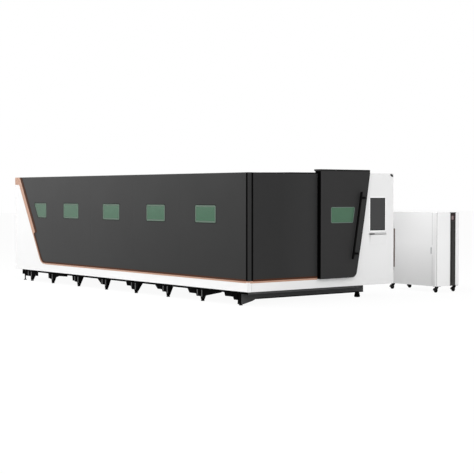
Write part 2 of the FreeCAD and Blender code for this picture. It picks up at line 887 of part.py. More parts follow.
def corner_shell(proud, reach_x, reach_y, depth, bottom, top):
    """An angle round the machine's corner, its outer faces `proud` outside the panel planes."""
    outer = [(-reach_x, proud), (-proud, proud), (-proud, reach_y), (-depth, reach_y),
             (-depth, depth), (-reach_x, depth)]
    radii = [0, corner_radius, 0, 0, 0, 0]
    return plate("z", outer, bottom, top, radii)


# ---------------------------------------------------------------- end face
def make_end_face():
    """Corner post, fixed panel, white jamb panel and skirt of the end face."""
    def post(bottom, top, reach):
        outline = [(-corner_return, 0), (0, 0), (0, reach), (-panel_depth, reach),
                   (-panel_depth, reach - sheet), (-sheet, reach - sheet), (-sheet, sheet),
                   (-corner_return + sheet, sheet), (-corner_return + sheet, panel_depth),
                   (-corner_return, panel_depth)]
        radii = [0, corner_radius, 0, 0, 0, 0, corner_radius - sheet, 0, 0, 0]
        return plate("z", outline, bottom, top, radii)

    nodes["corner_post"] = post(panel_bottom + fit_gap, roof_height, corner_face)
    fixed = rectangle(corner_face + corner_groove, panel_bottom, door_left, roof_height)
    jamb = rectangle(doorway_right, accent_bottom, console_left, roof_height)
    nodes["end_panels"] = pan("x", inset(fixed, fit_gap), 0, -panel_depth)
    skirts.append(pan("x", inset(jamb, fit_gap), 0, -panel_depth))
    skirt = rectangle(corner_face + skirt_groove, skirt_bottom, console_left, accent_bottom)
    skirts.append(post(skirt_bottom, accent_bottom - fit_gap, corner_face))
    skirts.append(pan("x", inset(skirt, fit_gap), 0, -panel_depth))


def door_edge(z):
    """Where the slanted right edge of the door stands at height z."""
    return door_foot_right + door_slope * (z - door_bottom)


def make_door():
    """Sliding door leaf, its window and handle, the cap with its hangers, and the track."""
    outline = [(door_left, door_bottom), (door_edge(door_bottom), door_bottom),
               (door_edge(door_top), door_top), (door_left, door_top)]
    radii = [0, door_corner_radius, 0, 0]
    leaf = pan("x", outline, door_face, -door_thickness, radii)
    lip = plate("x", outline, door_gap, door_gap + sheet, radii).cut(
        plate("x", inset(outline, door_lip), door_gap - 1, door_gap + 2 * sheet,
              inset_radii(outline, radii, door_lip)))
    window_right = door_window_left + door_window_width
    rise = door_slope * (door_window_top - door_window_bottom)
    window = [(door_window_left, door_window_bottom), (window_right, door_window_bottom),
              (window_right + rise, door_window_top), (door_window_left, door_window_top)]
    window_radii = [door_window_radius] * 4
    hole = plate("x", window, door_gap, door_face + 1, window_radii)
    nodes["sliding_door"] = fuse([leaf, lip]).cut(hole)
    nodes["door_window"] = plate("x", inset(window, -door_pane_margin),
                                 door_face - sheet - fit_gap - pane_thickness, door_face - sheet - fit_gap,
                                 inset_radii(window, window_radii, -door_pane_margin))

    cap_top = door_top + fit_gap + cap_height
    cap_right = door_edge(door_top)
    cap = block((-cap_back, door_left - cap_overhang, door_top + fit_gap), (door_face, cap_right, cap_top))
    cap = cap.cut(block((-cap_back + cap_sheet, door_left - cap_overhang + cap_sheet, door_top),
                        (door_face - cap_sheet, cap_right - cap_sheet, cap_top - cap_sheet)))
    track_floor = post_top + post_size / 2 + track_wall
    shoe_bottom = track_floor + fit_gap
    centre_x = -(panel_depth + track_width / 2)
    parts = [cap]
    for place in hanger_ends:
        parts.append(block((centre_x - hanger_thickness / 2, place, shoe_bottom + shoe_height / 2),
                           (centre_x + hanger_thickness / 2, place + hanger_length, cap_top)))
        parts.append(block((centre_x - track_width / 2 + track_wall + running_gap, place, shoe_bottom),
                           (centre_x + track_width / 2 - track_wall - running_gap,
                            place + hanger_length, shoe_bottom + shoe_height)))
    nodes["door_cap"] = fuse(parts)

    low = track_floor - track_wall
    left = centre_x - track_width / 2
    right = centre_x + track_width / 2
    top = low + track_height
    profile = [(left, low), (right, low), (right, top), (right - track_lip, top),
               (right - track_lip, top - track_wall), (right - track_wall, top - track_wall),
               (right - track_wall, track_floor), (left + track_wall, track_floor),
               (left + track_wall, top - track_wall), (left + track_lip, top - track_wall),
               (left + track_lip, top), (left, top)]
    nodes["door_track"] = plate("y", profile, track_start, doorway_right - fit_gap)
    make_handle()


def make_handle():
    """Slanted pull bar on two arms that reach back to the door beside its slanted edge."""
    back = door_face + handle_standoff
    front = back + handle_thickness
    half = handle_width / 2
    outline = [(handle_bottom[0] - half, handle_bottom[1]), (handle_bottom[0] + half, handle_bottom[1]),
               (handle_top[0] + half, handle_top[1]), (handle_top[0] - half, handle_top[1])]
    bar = plate("x", outline, back, front, [half * 0.6] * 4)
    lean = (handle_top[0] - handle_bottom[0]) / (handle_top[1] - handle_bottom[1])
    parts = [bar]
    for height in handle_arm_heights:
        low = height - handle_arm_height / 2
        high = height + handle_arm_height / 2
        bar_y = handle_bottom[0] + lean * (height - handle_bottom[1])
        end_y = door_edge(low) - handle_edge_gap
        parts.append(block((back, bar_y, low), (back + handle_arm_thickness, end_y, high)))
        parts.append(block((door_face + fit_gap, end_y - handle_foot, low), (back, end_y, high)))
    nodes["door_handle"] = fuse(parts)


# ---------------------------------------------------------------- far side, roof, loading end
def make_far_side():
    """Plain dark panels and the skirt on the far long side, and the roof panels."""
    edges = [console_depth + seam] + side_seams + [enclosure_length - seam]
    panels = []
    roofs = []
    for index in range(len(edges) - 1):
        left = -(edges[index + 1] - seam / 2)
        outline = rectangle(left, panel_bottom, -(edges[index] + seam / 2), roof_height)
        panels.append(pan("y", outline, enclosure_width, -panel_depth))
    nodes["back_panels"] = group(panels)
    skirt = rectangle(-enclosure_length, skirt_bottom, -(console_depth + seam), accent_bottom)
    skirts.append(pan("y", skirt, enclosure_width, -panel_depth))
    roof_edges = [roof_setback] + side_seams + [enclosure_length - panel_depth - seam]
    side = panel_depth + seam
    for near, far in zip(roof_edges, roof_edges[1:]):
        outline = rectangle(-(far - seam / 2), side, -(near + seam / 2), enclosure_width - side)
        roofs.append(pan("z", outline, roof_height - roof_drop, -roof_pan_depth))
    nodes["roof_panels"] = group(roofs)


def make_loading_end():
    """Columns, header and sill round the loading slot, the lifting gate and its guides."""
    face = -enclosure_length
    left = panel_depth + fit_gap
    inner = left + column_width
    column = pan("x", rectangle(left, skirt_bottom, inner, roof_height), face, panel_depth)
    side = inner + fit_gap
    header = pan("x", rectangle(side, gate_top, enclosure_width - side, roof_height), face, panel_depth)
    sill = pan("x", rectangle(side, skirt_bottom, enclosure_width - side, gate_bottom), face, panel_depth)
    nodes["loading_panels"] = group([column, across(column), header, sill])
    gate_x = face + panel_depth + gate_clearance
    gate_left = inner - gate_overlap
    gate = pan("x", rectangle(gate_left, gate_bottom - gate_overlap, enclosure_width - gate_left,
                              gate_top + gate_overlap), gate_x, gate_thickness)
    nodes["loading_gate"] = gate
    lip_x = gate_x + gate_thickness + gate_clearance
    guide_low = gate_bottom - gate_overlap
    guide_top = gate_top + gate_overlap + gate_travel
    wall = block((face + panel_depth, gate_left - gate_clearance - guide_cover, guide_low - guide_lip),
                 (lip_x + guide_lip, gate_left - gate_clearance, guide_top))
    lip = block((lip_x, gate_left - gate_clearance, guide_low - guide_lip),
                (lip_x + guide_lip, gate_left + guide_cover, guide_top))
    stop = block((face + panel_depth, gate_left - gate_clearance, guide_low - guide_lip),
                 (lip_x, gate_left + guide_cover, guide_low - fit_gap))
    parts = [wall, lip, stop]
    for arm_z in (guide_low, guide_top - guide_arm):
        parts.append(block((lip_x, panel_depth, arm_z),
                           (lip_x + guide_lip, gate_left - gate_clearance, arm_z + guide_arm)))
    guide = fuse(parts)
    nodes["gate_guides"] = group([guide, across(guide)])


# ---------------------------------------------------------------- hinges and latches
def lift_off_hinge(x, y, bottom, radius, pin_radius):
    """A lift-off hinge: the fixed knuckle with its pin, and the knuckle that drops over it."""
    fixed = fuse([cylinder(radius, (x, y, bottom), (x, y, bottom + hinge_knuckle)),
                  cylinder(pin_radius, (x, y, bottom + hinge_knuckle),
                           (x, y, bottom + 1.8 * hinge_knuckle))])
    low = bottom + hinge_knuckle + fit_gap
    moving = cylinder(radius, (x, y, low), (x, y, low + hinge_knuckle)).cut(
        cylinder(pin_radius + hinge_pin_gap, (x, y, low), (x, y, low + hinge_knuckle)))
    return fixed, moving


def make_latch(axis, centre, outward):
    """A quarter-turn latch: shaft, cam inside the door, boss and lever outside it."""
    depth = {"x": 0, "y": 1}[axis]
    side = 1 - depth

    def at(out, across_door, up):
        point = [0, 0, 0]
        point[depth] = centre[depth] + outward * out
        point[side] = centre[side] + across_door
        point[2] = centre[2] + up
        return tuple(point)

    def slab(out_a, out_b, half, low, high):
        first = at(out_a, -half, low)
        second = at(out_b, half, high)
        return block([min(a, b) for a, b in zip(first, second)],
                     [max(a, b) for a, b in zip(first, second)])

    inside = -sheet - latch_reach
    boss = cylinder(latch_boss_radius, at(fit_gap, 0, 0), at(latch_thickness, 0, 0))
    shaft = cylinder(latch_shaft_radius, at(inside, 0, 0), at(latch_thickness, 0, 0))
    lever = slab(latch_thickness / 2, latch_thickness * 1.5, latch_width / 2,
                 -latch_length + latch_boss_radius, latch_boss_radius)
    cam = slab(inside, inside + latch_cam_thickness, latch_shaft_radius, -latch_shaft_radius, latch_cam)
    return fuse([boss, shaft, lever, cam])


def vent_rows(axis, middle, face, bottom):
    """Cutters for rows of slots through a sheet: three slots wide, about a vertical middle line."""
    cutters = []
    for row in range(vent_slot_rows):
        low = bottom + row * vent_slot_pitch
        for column in (-1, 0, 1):
            centre = middle + column * (vent_slot_length + vent_slot_pitch)
            outline = rectangle(centre - vent_slot_length / 2, low, centre + vent_slot_length / 2,
                                low + vent_slot_height)
            ends = [vent_slot_height * 0.45] * 4
            cutters.append(plate(axis, outline, face - sheet, face + 2 * sheet, ends))
    return cutters


# ---------------------------------------------------------------- console
def make_console():
    """Console housing with its monitor, keyboard tray, control rack and service door."""
    low = (-console_depth, console_left + fit_gap, skirt_bottom)
    high = (0, console_right, console_top)
    wall = console_sheet
    shell = block(low, high).cut(block([value + wall for value in low], [value - wall for value in high]))
    service = rectangle(console_left + service_frame, skirt_bottom + service_frame,
                        console_right - service_frame, roof_height - service_frame)
    shell = shell.cut(plate("x", service, -console_depth - 1, -console_depth + 2 * wall))
    monitor = rectangle(monitor_left, monitor_bottom, monitor_left + monitor_width,
                        monitor_bottom + monitor_height)
    shell = shell.cut(plate("x", inset(monitor, -fit_gap), -2 * wall, 1))
    slot = rectangle(tray_left - tray_slot_gap, tray_bottom - tray_slot_gap,
                     tray_left + tray_width + tray_slot_gap, tray_bottom + tray_height + tray_slot_gap)
    shell = shell.cut(plate("x", slot, -2 * wall, 1))
    ledge_top = tray_bottom - fit_gap
    parts = [shell]
    for side in (-1, 1):
        edge = tray_left + tray_width / 2 + side * (tray_width / 2 + tray_slot_gap + ledge_thickness)
        inner_edge = edge - side * ledge_width
        parts.append(block((-tray_depth, min(edge, inner_edge), ledge_top - ledge_thickness),
                           (-wall, max(edge, inner_edge), ledge_top)))
        web = edge - side * ledge_thickness
        parts.append(block((-tray_depth, min(edge, web), ledge_top),
                           (-wall, max(edge, web), tray_bottom + tray_height)))
    pivot_x = -(console_depth + service_door_depth + hinge_radius / 2)
    pivot_y = console_right - hinge_radius - 1
    knuckles = []
    for bottom in (skirt_bottom + hinge_inset, roof_height - hinge_inset - 2 * hinge_knuckle):
        fixed, moving = lift_off_hinge(pivot_x, pivot_y, bottom, hinge_radius, hinge_pin_radius)
        parts.append(fixed)
        parts.append(block((pivot_x, pivot_y, bottom), (-console_depth, pivot_y + hinge_radius - 1,
                                                       bottom + hinge_knuckle)))
        knuckles.append((moving, bottom + hinge_knuckle + fit_gap))
    fairing_top = tray_bottom - fairing_top_gap
    fairing = []
    for height, depth, taper in ((fairing_top, fairing_depth, fairing_taper / 4),
                                 (fairing_top - fairing_height, fairing_foot_depth, fairing_taper)):
        near = tray_left - tray_slot_gap + taper
        far = tray_left + tray_width + tray_slot_gap - taper
        corners = [(-wall / 2, near - taper), (depth, near), (depth, far), (-wall / 2, far + taper)]
        fairing.append(Part.makePolygon([Vector(a, b, height) for a, b in corners + corners[:1]]))
    parts.append(Part.makeLoft(fairing, True, True))
    nodes["console_shell"] = fuse(parts)
    screen = plate("x", inset(monitor, monitor_bezel), -monitor_recess - screen_recess, 0)
    nodes["monitor"] = plate("x", monitor, -monitor_depth, -monitor_recess).cut(screen)

    tray = block((-tray_depth, tray_left, tray_bottom),
                 (tray_lip, tray_left + tray_width, tray_bottom + tray_height))
    hollow = block((-tray_depth + tray_floor, tray_left + tray_floor, tray_bottom + tray_floor),
                   (-tray_floor, tray_left + tray_width - tray_floor, tray_bottom + tray_height + 1))
    nodes["keyboard_tray"] = tray.cut(hollow)
    key_left = tray_left + (tray_width - keyboard_width) / 2
    key_low = tray_bottom + tray_floor
    nodes["keyboard"] = plate("y", [(-keyboard_setback - keyboard_depth, key_low + fit_gap),
                                    (-keyboard_setback, key_low + fit_gap),
                                    (-keyboard_setback, key_low + keyboard_front),
                                    (-keyboard_setback - keyboard_depth, key_low + keyboard_height)],
                              key_left, key_left + keyboard_width)

    plate_y = console_right - wall - fit_gap
    rack_end = -(console_depth + rack_width) / 2
    rack = [block((rack_end, plate_y - rack_plate, rack_bottom),
                  (rack_end + rack_width, plate_y, rack_bottom + rack_height))]
    row = rack_height / device_rows
    for index in range(device_rows):
        bottom = rack_bottom + (index + 0.2) * row
        for count in range(index % 2 + 3):
            cell = rack_width / (index % 2 + 3)
            left = rack_end + (count + 0.15) * cell
            rack.append(block((left, plate_y - rack_plate - device_depth, bottom),
                              (left + cell * 0.7, plate_y - rack_plate, bottom + row * 0.6)))
    nodes["control_rack"] = fuse(rack)

    door = rectangle(console_left + service_frame / 2, skirt_bottom + service_frame / 2,
                     console_right - 2 * hinge_radius - 2, roof_height - service_frame / 2)
    leaf = pan("x", door, -(console_depth + service_door_gap + service_door_depth), service_door_depth)
    door_parts = [leaf]
    for moving, bottom in knuckles:
        top = bottom + hinge_knuckle
        web = block((pivot_x - sheet, door[1][0] - sheet, bottom), (pivot_x + sheet, pivot_y, top))
        web = web.cut(cylinder(hinge_radius - 1, (pivot_x, pivot_y, bottom), (pivot_x, pivot_y, top)))
        door_parts += [moving, web]
    latch_face = -(console_depth + service_door_gap + service_door_depth)
    centre = (latch_face, console_left + service_frame / 2 + console_latch_side, console_latch_height)
    bore = cylinder(latch_shaft_radius + latch_shaft_gap, (latch_face - 1, centre[1], centre[2]),
                    (latch_face + 2 * sheet, centre[1], centre[2]))
    vents = vent_rows("x", (door[0][0] + door[1][0]) / 2, latch_face, skirt_bottom + vent_margin)
    vents += vent_rows("x", (door[0][0] + door[1][0]) / 2, latch_face, roof_height - 2 * vent_margin)
    nodes["console_door"] = fuse(door_parts).cut([bore] + vents)
    nodes["console_latch"] = make_latch("x", centre, -1)
    axes["console_door"] = (pivot_x, pivot_y, skirt_bottom)
    axes["console_latch"] = centre


# ---------------------------------------------------------------- gantry and cutting head
def make_gantry():
    """Gantry beam on two end carriages with their motors, the head carriage and the Z slide."""
    x = -gantry_rest
    rail_y = bed_side + rail_inset
    rail_top = bed_top + rail_height
    block_low = bed_top + 3
    block_top = block_low + block_height
    plate_top = block_top + carriage_plate
    carriage = [block((x - carriage_length / 2, carriage_side, block_top),
                      (x + carriage_length / 2, carriage_side + carriage_width, plate_top))]
    middle = rail_y + rail_width / 2
    for sign in (-1, 1):
        centre = x + sign * (carriage_length - block_length) / 2
        body = block((centre - block_length / 2, middle - block_width / 2, block_low),
                     (centre + block_length / 2, middle + block_width / 2, block_top))
        groove = block((centre - block_length, rail_y - running_gap, block_low - 1),
                       (centre + block_length, rail_y + rail_width + running_gap, rail_top + running_gap))
        carriage.append(body.cut(groove))
    carriage = fuse(carriage)
    nodes["gantry_ends"] = group([carriage, across(carriage)])

    beam_low = plate_top
    beam_high = beam_low + beam_height
    half = beam_width / 2
    section = [(x - half, beam_low), (x + half, beam_low), (x + half, beam_high - beam_chamfer),
               (x + half - beam_chamfer, beam_high), (x - half, beam_high)]
    beam = plate("y", section, carriage_side, enclosure_width - carriage_side)
    for low, high in ((beam_low + beam_wall, (beam_low + beam_high) / 2 - beam_wall / 2),
                      ((beam_low + beam_high) / 2 + beam_wall / 2, beam_high - beam_wall)):
        beam = beam.cut(block((x - half + beam_wall, carriage_side - 1, low),
                              (x + half - beam_chamfer, enclosure_width - carriage_side + 1, high)))
    nodes["gantry_beam"] = beam

    motor_x = x + half + fit_gap
    motor_side = carriage_side + motor_size / 2
    flange_top = plate_top + motor_flange
    motor_end = x + carriage_length / 2
    motor = fuse([block((motor_x, carriage_side, plate_top),
                        (motor_end, carriage_side + motor_size, flange_top)),
                  cylinder(motor_radius, (motor_x + motor_setback, motor_side, flange_top),
                           (motor_x + motor_setback, motor_side, plate_top + motor_height))])
    nodes["gantry_motors"] = group([motor, across(motor)])

    face = x - half
    rail_low = beam_low + y_rail_inset
    rail_high = beam_high - y_rail_inset - y_rail_width
    rails = []
    for low in (rail_low, rail_high):
        rails.append(block((face - y_rail_height, carriage_side + y_rail_margin, low),
                           (face, enclosure_width - carriage_side - y_rail_margin, low + y_rail_width)))
    nodes["y_rails"] = group(rails)

    plate_face = face - y_rail_height - running_gap
    left = head_rest - head_width / 2
    right = head_rest + head_width / 2
    head = [block((plate_face - head_plate, left, beam_low - 20), (plate_face, right, beam_high + 20))]
    for low in (rail_low, rail_high):
        for edge in (low - 14 - running_gap, low + y_rail_width + running_gap):
            head.append(block((plate_face, left, edge), (face + 4 - y_rail_height / 2, right, edge + 14)))
    bridge_low = beam_high + 20
    slide_x = plate_face - head_plate
    head.append(block((slide_x - 90, head_rest - 50, bridge_low - 20), (slide_x, head_rest + 50, bridge_low)))
    head.append(cylinder(z_motor_radius, (slide_x - 45, head_rest, bridge_low),
                         (slide_x - 45, head_rest, bridge_low + z_motor_height)))
    for sign in (-1, 1):
        y = head_rest + sign * (z_plate_width / 2 - z_rail)
        head.append(block((slide_x - z_rail, y - z_rail / 2, beam_low - 20),
                          (slide_x, y + z_rail / 2, bridge_low - 20)))
    nodes["head_carriage"] = fuse(head)

    z_face = slide_x - z_rail - running_gap
    z_top = bridge_low - 20 - z_travel_up - 5
    z_low = z_top - z_plate_height
    nodes["z_slide"] = block((z_face - z_plate, head_rest - z_plate_width / 2, z_low),
                             (z_face, head_rest + z_plate_width / 2, z_top))
    body_face = z_face - z_plate - fit_gap
    cone_top = nozzle_tip + nozzle_height + cutter_cone_height
    body_x = body_face - cutter_depth / 2
    body = block((body_face - cutter_depth, head_rest - cutter_width / 2, cone_top),
                 (body_face, head_rest + cutter_width / 2, cone_top + cutter_height))
    cone = Part.makeCone(cutter_cone_tip, cutter_width / 2 - cutter_shoulder, cutter_cone_height,
                         Vector(body_x, head_rest, nozzle_tip + nozzle_height))
    tip = Part.makeCone(nozzle_tip_radius, nozzle_radius, nozzle_height,
                        Vector(body_x, head_rest, nozzle_tip))
    nodes["cutting_head"] = fuse([body, cone, tip])


# ---------------------------------------------------------------- laser source cabinet
def make_cabinet():
    """Cabinet shell with its hinged door, vent strip, display and the laser source inside."""
    wall = cabinet_sheet
    low = (cabinet_left, cabinet_shell_front, cabinet_bottom)
    high = (cabinet_right, cabinet_back, cabinet_top)
    shell = block(low, high).cut(block([value + wall for value in low], [value - wall for value in high]))
    column_x = cabinet_right - cabinet_column
    opening = rectangle(cabinet_hinge_side + cabinet_frame, cabinet_bottom + cabinet_frame,
                        column_x - cabinet_frame / 2, cabinet_top - cabinet_frame)
    shell = shell.cut(plate("y", opening, cabinet_shell_front - 1, cabinet_shell_front + 2 * wall))
    column = block((column_x, cabinet_front, cabinet_bottom),
                   (cabinet_right, cabinet_shell_front, cabinet_top))
    parts = [shell, column]
    pivot_x = cabinet_hinge_side - cabinet_hinge_offset
    pivot_y = cabinet_front - cabinet_hinge_offset
    door_left_x = cabinet_hinge_side + cabinet_door_gap
    knuckles = []
    for bottom in (cabinet_bottom + hinge_inset, cabinet_top - hinge_inset - 2 * hinge_knuckle):
        fixed, moving = lift_off_hinge(pivot_x, pivot_y, bottom, cabinet_hinge_radius, cabinet_hinge_pin)
        strap = block((pivot_x, pivot_y, bottom), (cabinet_hinge_side, cabinet_shell_front + sheet / 2,
                                                   bottom + hinge_knuckle))
        parts += [fixed, strap]
        knuckles.append((moving, bottom + hinge_knuckle + fit_gap))
    vents = []
    for bottom in (cabinet_bottom + vent_margin, cabinet_top - 2 * vent_margin):
        for middle in (cabinet_left + cabinet_width / 4, cabinet_right - cabinet_width / 4):
            vents += vent_rows("y", middle, cabinet_back - sheet, bottom)
    nodes["cabinet_shell"] = fuse(parts).cut(vents)

    outline = rectangle(door_left_x, cabinet_bottom, column_x - cabinet_door_gap, cabinet_top)
    leaf = pan("y", outline, cabinet_front, cabinet_door_thickness)
    door_parts = [leaf]
    for moving, bottom in knuckles:
        web = block((pivot_x, pivot_y, bottom),
                    (door_left_x + cabinet_hinge_radius, cabinet_front + sheet / 2, bottom + hinge_knuckle))
        web = web.cut(cylinder(cabinet_hinge_radius - 1, (pivot_x, pivot_y, bottom),
                               (pivot_x, pivot_y, bottom + hinge_knuckle)))
        door_parts += [moving, web]
    centre = (cabinet_right - cabinet_latch_side, cabinet_front, cabinet_latch_height)
    bore = cylinder(latch_shaft_radius + latch_shaft_gap, (centre[0], cabinet_front - 1, centre[2]),
                    (centre[0], cabinet_front + 2 * sheet, centre[2]))
    nodes["cabinet_door"] = fuse(door_parts).cut(bore)
    nodes["cabinet_latch"] = make_latch("y", centre, -1)
    axes["cabinet_door"] = (pivot_x, pivot_y, cabinet_bottom)
    axes["cabinet_latch"] = centre

    left = cabinet_front + strip_start
    right = left + strip_width
    flare = [(left - strip_flare, cabinet_bottom), (right + strip_flare, cabinet_bottom),
             (right, cabinet_bottom + strip_flare_height), (right, cabinet_top - strip_flare_height),
             (right + strip_flare, cabinet_top), (left - strip_flare, cabinet_top),
             (left, cabinet_top - strip_flare_height), (left, cabinet_bottom + strip_flare_height)]
    strip = plate("x", flare, cabinet_right + fit_gap, cabinet_right + strip_proud)
    groove_pitch = strip_width / (strip_groove_count + 0.5)
    grooves = []
    for index in range(strip_groove_count):
        start = left + (index + 0.5) * groove_pitch
        grooves.append(block((cabinet_right + strip_proud - strip_groove_depth, start,
                              cabinet_bottom + strip_groove_margin),
                             (cabinet_right + strip_proud + 1, start + groove_pitch / 2,
                              cabinet_top - display_drop - display_height - strip_groove_margin / 2)))
    nodes["cabinet_vent_strip"] = strip.cut(grooves)
    display_top = cabinet_top - display_drop
    nodes["cabinet_display"] = block(
        (cabinet_right + strip_proud + fit_gap, left + display_margin, display_top - display_height),
        (cabinet_right + strip_proud + display_thickness, right - display_margin, display_top))

    floor = cabinet_bottom + wall + fit_gap
    source_x = cabinet_left + source_margin
    source_y = cabinet_back - source_margin - source_depth
    body = block((source_x, source_y, floor),
                 (source_x + source_width, source_y + source_depth, floor + source_height))
    nodes["laser_source"] = body


def make_casters():
    """Four swivel casters: a fixed plate, a fork that turns under it, and the wheel in the fork."""
    plates = []
    places = [(x, y) for x in (cabinet_left + caster_inset, cabinet_right - caster_inset)
              for y in (cabinet_front + caster_inset, cabinet_back - caster_inset)]
    plate_low = cabinet_bottom - fit_gap - caster_plate_thickness
    crown_top = plate_low - fit_gap
    crown_low = crown_top - caster_race_height
    half_gap = caster_wheel_width / 2 + caster_fork_gap
    for number, (x, y) in enumerate(places, 1):
        plate_block = block((x - caster_plate / 2, y - caster_plate / 2, plate_low),
                            (x + caster_plate / 2, y + caster_plate / 2, cabinet_bottom - fit_gap))
        kingpin = cylinder(caster_kingpin_radius, (x, y, crown_low), (x, y, plate_low))
        plates.append(fuse([plate_block, kingpin]))
        wheel_y = y - caster_trail
        wheel_z = floor_level + caster_wheel_radius
        crown = fuse([cylinder(caster_race_radius, (x, y, crown_low), (x, y, crown_top)),
                      block((x - half_gap - caster_fork_wall, y - caster_fork_width / 2, crown_low),
                            (x + half_gap + caster_fork_wall, y + caster_fork_width / 2,
                             crown_low + caster_fork_wall))])
        crown = crown.cut(cylinder(caster_kingpin_radius + caster_bore_gap, (x, y, crown_low - 1),
                                   (x, y, crown_top + 1)))
        fork = [crown]
        for sign in (-1, 1):
            inner = x + sign * half_gap
            outer = inner + sign * caster_fork_wall
            leg = plate("x", [(y + caster_fork_width / 2, crown_low + caster_fork_wall),
                              (y - caster_fork_width / 2, crown_low + caster_fork_wall),
                              (wheel_y - 2 * caster_axle_radius, wheel_z),
                              (wheel_y, wheel_z - 2 * caster_axle_radius),
                              (wheel_y + 2 * caster_axle_radius, wheel_z)],
                        min(inner, outer), max(inner, outer))
            fork.append(leg)
        axle_end = half_gap + caster_fork_wall + caster_axle_head
        fork.append(cylinder(caster_axle_radius, (x - axle_end, wheel_y, wheel_z),
                             (x + axle_end, wheel_y, wheel_z)))
        nodes["caster_fork_%d" % number] = fuse(fork)
        half = caster_wheel_width / 2
        wheel = cylinder(caster_wheel_radius, (x - half, wheel_y, wheel_z), (x + half, wheel_y, wheel_z))
        bore = cylinder(caster_axle_radius + caster_bore_gap, (x - half - 1, wheel_y, wheel_z),
                        (x + half + 1, wheel_y, wheel_z))
        nodes["caster_wheel_%d" % number] = wheel.cut(bore)
        axes["caster_swivel_%d" % number] = (x, y, crown_low)
        axes["caster_wheel_%d" % number] = (x, wheel_y, wheel_z)
    nodes["caster_plates"] = group(plates)


def main():
    """Build every node, centre the whole on the floor and write one file per node."""
    make_base()
    make_bed()
    make_table()
    make_frame()
    make_long_side()
    make_end_face()
    make_door()
    make_far_side()
    make_loading_end()
    make_console()
    make_gantry()
    make_cabinet()
    make_casters()
    nodes["skirt_panels"] = group(skirts)
    whole = Part.makeCompound(list(nodes.values())).BoundBox
    shift = Vector(-(whole.XMin + whole.XMax) / 2, -(whole.YMin + whole.YMax) / 2, -whole.ZMin)
    os.makedirs("parts", exist_ok=True)
    for name, shape in nodes.items():
        placed = shape.copy()
        placed.translate(shift)
        placed.exportStep("parts/%s.step" % name)
    print("nodes", len(nodes))
    print("shift", shift.x, shift.y, shift.z)
    print("size", whole.XLength, whole.YLength, whole.ZLength)
    for name, place in axes.items():
        print("axis", name, *["%.3f" % (place[k] + shift[k]) for k in range(3)])
    print("travel door %.1f gate %.1f gantry %.1f head %.1f z %.1f %.1f tray %.1f" % (
        door_travel, gate_travel, gantry_travel, head_travel, z_travel_down, z_travel_up, tray_travel))


main()
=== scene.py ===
import math

import bmesh
import bpy
from mathutils import Matrix, Vector


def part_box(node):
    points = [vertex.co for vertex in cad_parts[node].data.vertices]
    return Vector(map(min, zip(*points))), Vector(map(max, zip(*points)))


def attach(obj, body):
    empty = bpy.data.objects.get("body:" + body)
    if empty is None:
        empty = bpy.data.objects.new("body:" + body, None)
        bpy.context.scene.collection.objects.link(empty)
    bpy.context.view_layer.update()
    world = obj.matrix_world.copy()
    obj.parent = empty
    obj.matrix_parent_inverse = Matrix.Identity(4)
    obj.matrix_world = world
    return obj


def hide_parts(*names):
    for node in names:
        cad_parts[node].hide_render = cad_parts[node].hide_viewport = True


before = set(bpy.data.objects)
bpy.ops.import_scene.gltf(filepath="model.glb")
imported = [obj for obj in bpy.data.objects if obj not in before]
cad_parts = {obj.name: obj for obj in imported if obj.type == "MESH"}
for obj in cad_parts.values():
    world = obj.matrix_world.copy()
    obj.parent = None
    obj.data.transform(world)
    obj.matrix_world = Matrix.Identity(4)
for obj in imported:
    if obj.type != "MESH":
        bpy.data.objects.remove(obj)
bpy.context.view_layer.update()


# Camera. It stands off the near corner a little under roof height, and looks along
# the windowed side with a long lens.
end_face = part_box("end_panels")[1].x
long_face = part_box("side_panels")[0].y
camera_place = (end_face + 15.71, long_face - 12.42, 1.880)
camera_turn = 52.19
camera_dip = 2.04
lens = bpy.data.cameras.new("corner_view")
lens.sensor_width = 36
lens.lens = 91.3
camera = bpy.data.objects.new("corner_view", lens)
camera.matrix_world = (Matrix.Translation(camera_place)
                       @ Matrix.Rotation(math.radians(camera_turn), 4, "Z")
                       @ Matrix.Rotation(math.radians(90 - camera_dip), 4, "X"))
bpy.context.scene.collection.objects.link(camera)
bpy.context.scene.camera = camera
bpy.context.scene.view_settings.view_transform = "Standard"


# Studio. A pale seamless floor in a pale room, lit by large soft lamps: one down the long
# side, one towards the end face, one off the near corner and one from above.
def show_white(web, lit, white, share=1.0):
    """Mix `lit` with plain white where the camera, a reflection or a pane looks at it."""
    rays = web.nodes.new("ShaderNodeLightPath")
    seen = rays.outputs["Is Camera Ray"]
    for kind in ("Is Glossy Ray", "Is Transmission Ray"):
        either = web.nodes.new("ShaderNodeMath")
        either.operation = "MAXIMUM"
        web.links.new(seen, either.inputs[0])
        web.links.new(rays.outputs[kind], either.inputs[1])
        seen = either.outputs[0]
    part = web.nodes.new("ShaderNodeMath")
    part.operation = "MULTIPLY"
    part.inputs[1].default_value = share
    blend = web.nodes.new("ShaderNodeMixShader")
    web.links.new(seen, part.inputs[0])
    web.links.new(part.outputs[0], blend.inputs["Fac"])
    web.links.new(lit.outputs[0], blend.inputs[1])
    web.links.new(white.outputs[0], blend.inputs[2])
    return blend


room = bpy.data.worlds.new("room")
room.use_nodes = True
room_light = room.node_tree.nodes["Background"]
room_light.inputs["Color"].default_value = (1, 1, 1, 1)
room_light.inputs["Strength"].default_value = 0.62
room_white = room.node_tree.nodes.new("ShaderNodeBackground")
room_white.inputs["Color"].default_value = (1, 1, 1, 1)
room_white.inputs["Strength"].default_value = 1.0
room.node_tree.links.new(show_white(room.node_tree, room_light, room_white).outputs[0],
                         room.node_tree.nodes["World Output"].inputs["Surface"])
bpy.context.scene.world = room

